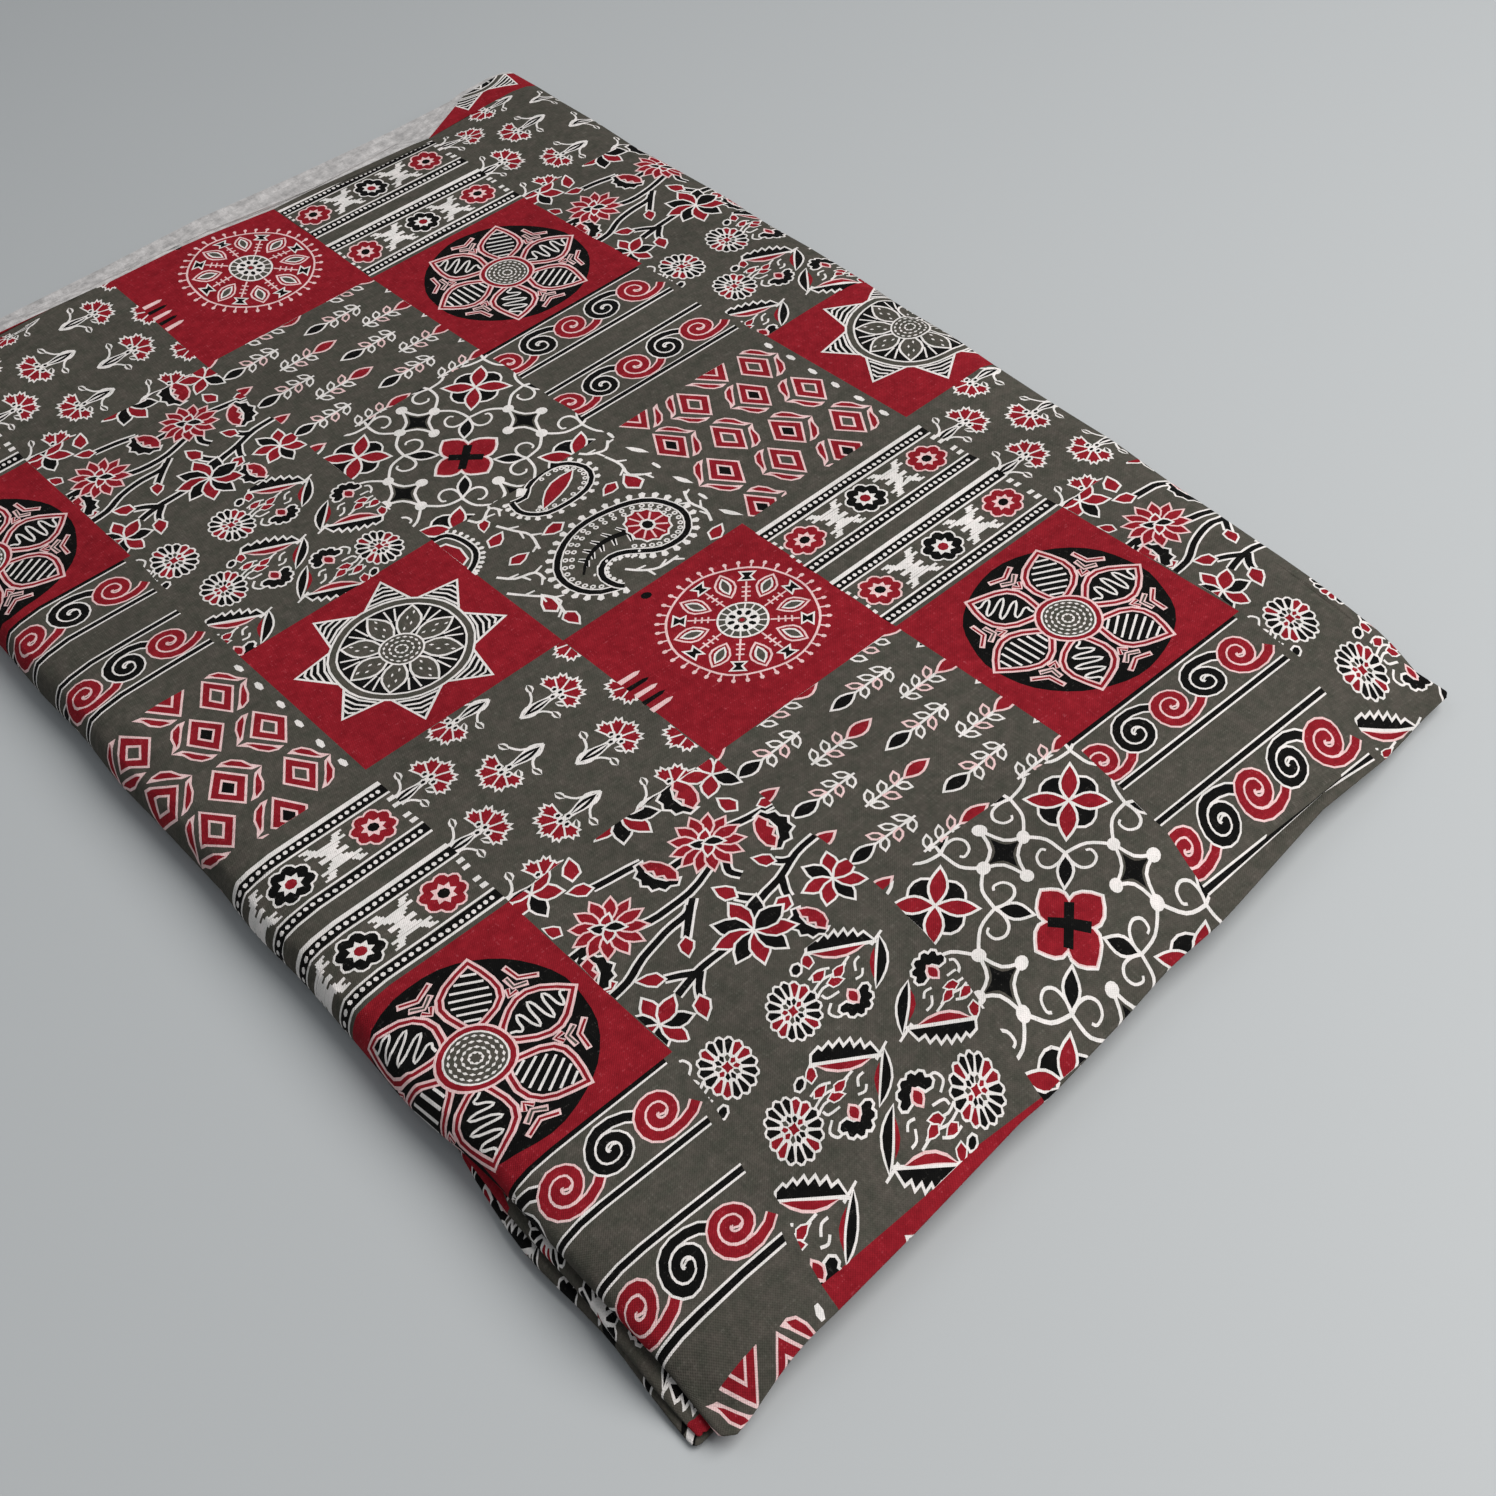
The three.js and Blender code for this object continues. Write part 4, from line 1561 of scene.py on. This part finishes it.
def inked(places):
    low_corner = places.min(0)
    bins = np.floor((places - low_corner) / BIN).astype(int)
    last_bin = bins.max(0)
    bin_numbers = bins[:, 0] * (last_bin[1] + 1) + bins[:, 1]
    by_bin = np.argsort(bin_numbers, kind="stable")
    bin_numbers = bin_numbers[by_bin]
    found = np.full(len(places), OUTSIDE)
    for ink, outline in shapes:
        low = np.clip(np.floor((outline.min(0) - low_corner) / BIN).astype(int), 0, last_bin)
        high = np.clip(np.floor((outline.max(0) - low_corner) / BIN).astype(int), 0, last_bin)
        columns = np.arange(low[0], high[0] + 1) * (last_bin[1] + 1)
        first = np.searchsorted(bin_numbers, columns + low[1], "left")
        last = np.searchsorted(bin_numbers, columns + high[1], "right")
        near = np.concatenate([by_bin[p:q] for p, q in zip(first, last)])
        if outline is not cloth_edge[1]:
            near = near[found[near] != OUTSIDE]
        u, v = places[near].T
        crossings = np.zeros(len(near), int)
        for (start_u, start_v), (end_u, end_v) in zip(outline, np.roll(outline, -1, axis=0)):
            spans_v = (start_v > v) != (end_v > v)
            rise = end_v - start_v or 1.0
            crossings += spans_v & (u < start_u + (end_u - start_u) * (v - start_v) / rise)
        found[near[crossings % 2 == 1]] = ink
    return found


def sheet_of(points, lines):
    """Triangles that keep to the lines, with the ink of each."""
    points, _, triangles, _, _, _ = delaunay_2d_cdt(
        [Vector(point) for point in points], lines, [], INSIDE, NEAR, False
    )
    points = np.array([tuple(point) for point in points])
    triangles = np.array(triangles)
    triangle_inks = inked(points[triangles].mean(1))
    inside = triangle_inks != OUTSIDE
    return points, triangles[inside], triangle_inks[inside]


# A first sheet finds where two inks meet. Those borders alone, made plainer where they run
# nearly straight, cut the final sheet.
flat, triangles, triangle_inks = sheet_of(flat_points + shape_points, edges + shape_edges)
sides = np.sort(np.concatenate((triangles[:, :2], triangles[:, 1:], triangles[:, ::2])), axis=1)
side_inks = np.tile(triangle_inks, 3)
order = np.lexsort((sides[:, 1], sides[:, 0]))
sides = sides[order]
side_inks = side_inks[order]
shared = (sides[1:] == sides[:-1]).all(1)
borders = sides[1:][shared & (side_inks[1:] != side_inks[:-1])]

STRAIGHT = 0.035               # a border's point this near the line past it is left out
PLAINER = 4                    # rounds of leaving out points
neighbours = {}
for p, q in borders.tolist():
    neighbours.setdefault(p, set()).add(q)
    neighbours.setdefault(q, set()).add(p)
for _ in range(PLAINER):
    resting = set()
    for at in list(neighbours):
        if at in resting or len(neighbours[at]) != 2:
            continue
        p, q = neighbours[at]
        if p in resting or q in resting or q in neighbours[p]:
            continue
        across_u, across_v = flat[q] - flat[p]
        from_u, from_v = flat[at] - flat[p]
        length = math.hypot(across_u, across_v)
        if abs(across_u * from_v - across_v * from_u) < STRAIGHT * length:
            neighbours[p].remove(at)
            neighbours[q].remove(at)
            neighbours[p].add(q)
            neighbours[q].add(p)
            del neighbours[at]
            resting.update((p, q))
kept = {at: len(flat_points) + i for i, at in enumerate(neighbours)}
border_points = [tuple(flat[at]) for at in neighbours]
border_edges = [(kept[p], kept[q]) for p in neighbours for q in neighbours[p] if p < q]
flat, triangles, triangle_inks = sheet_of(flat_points + border_points, edges + border_edges)
used, triangles = np.unique(triangles, return_inverse=True)
triangles = triangles.reshape(-1, 3)
u, v = flat[used].T

# Fold the sheet up
x, z, facing_x, facing_z, lap, off, y, push = fold_up(u, v)
x = x + push * facing_x
z = z + push * facing_z
x, y, z = settle(x, y, z, lap, off)

mesh = bpy.data.meshes.new("folded_cotton")
mesh.from_pydata((np.stack((x, y, z), 1) * MM).tolist(), [], triangles.tolist())
mesh.polygons.foreach_set("material_index", triangle_inks.astype(np.int32))
mesh.polygons.foreach_set("use_smooth", np.ones(len(triangles), bool))

# Two maps: the flat cloth in metres, and the same in a band of its own for each ink
at_corners = triangles.ravel()
map_u = ((u - u.min()) / (u.max() - u.min()))[at_corners]
map_v = ((v - v.min()) / (v.max() - v.min()))[at_corners]
banded_v = (np.repeat(triangle_inks, 3) + 0.01 + 0.98 * map_v) / len(INKS)
for name, places in (
    ("cloth", np.stack((u, v), 1)[at_corners] * MM),
    ("OFBake", np.stack((map_u, banded_v), 1)),
):
    mesh.uv_layers.new(name=name).data.foreach_set("uv", places.astype(np.float32).ravel())
cloth = bpy.data.objects.new("folded_cotton", mesh)
bpy.context.scene.collection.objects.link(cloth)

# The finish: for each ink its two shades, from where the dye took less to where it took more,
# what shows through on yarns that it missed, how much that is, and how uneven the yarns look
PAINTS = {
    "ground": ((0.053, 0.052, 0.041), (0.075, 0.066, 0.055), (0.15, 0.14, 0.125), 0.3, 0.25),
    "red": ((0.185, 0.0065, 0.012), (0.245, 0.0105, 0.0178), (0.42, 0.11, 0.13), 0.35, 0.16),
    "black": ((0.0018, 0.0018, 0.0018), (0.0042, 0.004, 0.0036), (0.06, 0.055, 0.05), 0.5, 0.4),
    "white": ((0.62, 0.6, 0.57), (0.74, 0.69, 0.665), (0.2, 0.19, 0.17), 0.65, 0.12),
    "blush": ((0.64, 0.42, 0.41), (0.74, 0.53, 0.52), (0.3, 0.09, 0.1), 0.6, 0.14),
    "reverse": ((0.33, 0.32, 0.315), (0.54, 0.52, 0.51), (0.15, 0.12, 0.12), 0.7, 0.2),
}
YARNS = 2400.0                 # to the metre, as are the next three
CLOUDS = 24.0
PATCHES = 210.0
SLACK_SPOTS = 95.0
SLUB = 0.2                     # how fast a yarn changes along itself, against across it
YARN_RELIEF = 0.00008          # metres, as is the next
SLACK_RELIEF = 0.0011
SHINE = 0.08                   # cotton hardly reflects


def printed_cotton(ink):
    lean, full, missed, missing, uneven = PAINTS[ink]
    paint = bpy.data.materials.new(f"printed_cotton_{ink}")
    paint.use_nodes = True
    shader = paint.node_tree.nodes["Principled BSDF"]
    links = paint.node_tree.links

    def node(kind, output, inputs, **settings):
        """The output of a new node, its inputs set, or linked where the value is a socket."""
        made = paint.node_tree.nodes.new("ShaderNode" + kind)
        for name, value in settings.items():
            setattr(made, name, value)
        for name, value in inputs.items():
            if isinstance(value, bpy.types.NodeSocket):
                links.new(value, made.inputs[name])
            else:
                made.inputs[name].default_value = value
        return made.outputs[output]

    def noise(at, scale, detail, roughness=0.6):
        inputs = {"Vector": at, "Scale": scale, "Detail": detail, "Roughness": roughness}
        return node("TexNoise", "Fac", inputs)

    def maths(operation, *values):
        return node("Math", "Value", dict(enumerate(values)), operation=operation)

    def spread(value, low, high, to_low, to_high):
        """The value carried from one range to another, held at its ends."""
        inputs = {"Value": value, "From Min": low, "From Max": high}
        return node("MapRange", "Result", {**inputs, "To Min": to_low, "To Max": to_high})

    def mixed(share, first, second):
        return node("Mix", "Result", {"Factor": share, "A": first, "B": second}, data_type="RGBA")

    # Uneven yarns both ways, each drawn out along itself
    place = node("UVMap", "UV", {}, uv_map="cloth")
    yarns = []
    for stretch in ((SLUB, 1.0, 1.0), (1.0, SLUB, 1.0)):
        drawn_out = node("Mapping", "Vector", {"Vector": place, "Scale": stretch})
        yarns.append(noise(drawn_out, YARNS * 0.6, 2.0))
    weave = maths("ADD", *yarns)

    # Dye that took in clouds, and in small patches
    patches = spread(noise(place, PATCHES, 3.0), 0.34, 0.66, 0.0, 1.0)
    clouds = spread(noise(place, CLOUDS, 5.0), 0.3, 0.7, 0.9, 1.1)
    light = maths("MULTIPLY", clouds, spread(weave, 0.6, 1.4, 1.0 - uneven, 1.0 + uneven))
    dyed = mixed(patches, (*lean, 1.0), (*full, 1.0))
    lit = node("VectorMath", "Vector", {"Vector": dyed, "Scale": light}, operation="SCALE")
    bare = spread(weave, 1.16, 1.36, 0.0, missing)
    links.new(mixed(bare, lit, (*missed, 1.0)), shader.inputs["Base Color"])
    links.new(spread(weave, 0.6, 1.4, 0.78, 0.94), shader.inputs["Roughness"])
    shader.inputs["Specular IOR Level"].default_value = SHINE

    # The plain weave's own relief, and slack where the cloth isn't quite smooth
    parts = node("SeparateXYZ", "X", {"Vector": place}).node.outputs
    ridges = [maths("SINE", maths("MULTIPLY", parts[axis], YARNS * math.pi)) for axis in "XY"]
    relief = maths("ADD", maths("MULTIPLY", *ridges), weave)
    inputs = {"Height": relief, "Distance": YARN_RELIEF, "Strength": 0.6}
    woven = node("Bump", "Normal", inputs)
    slack = noise(place, SLACK_SPOTS, 2.0, 0.5)
    inputs = {"Height": slack, "Distance": SLACK_RELIEF, "Strength": 0.5, "Normal": woven}
    links.new(node("Bump", "Normal", inputs), shader.inputs["Normal"])
    return paint


for ink in INKS:
    mesh.materials.append(printed_cotton(ink))

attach(cloth, "root")
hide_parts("cloth")
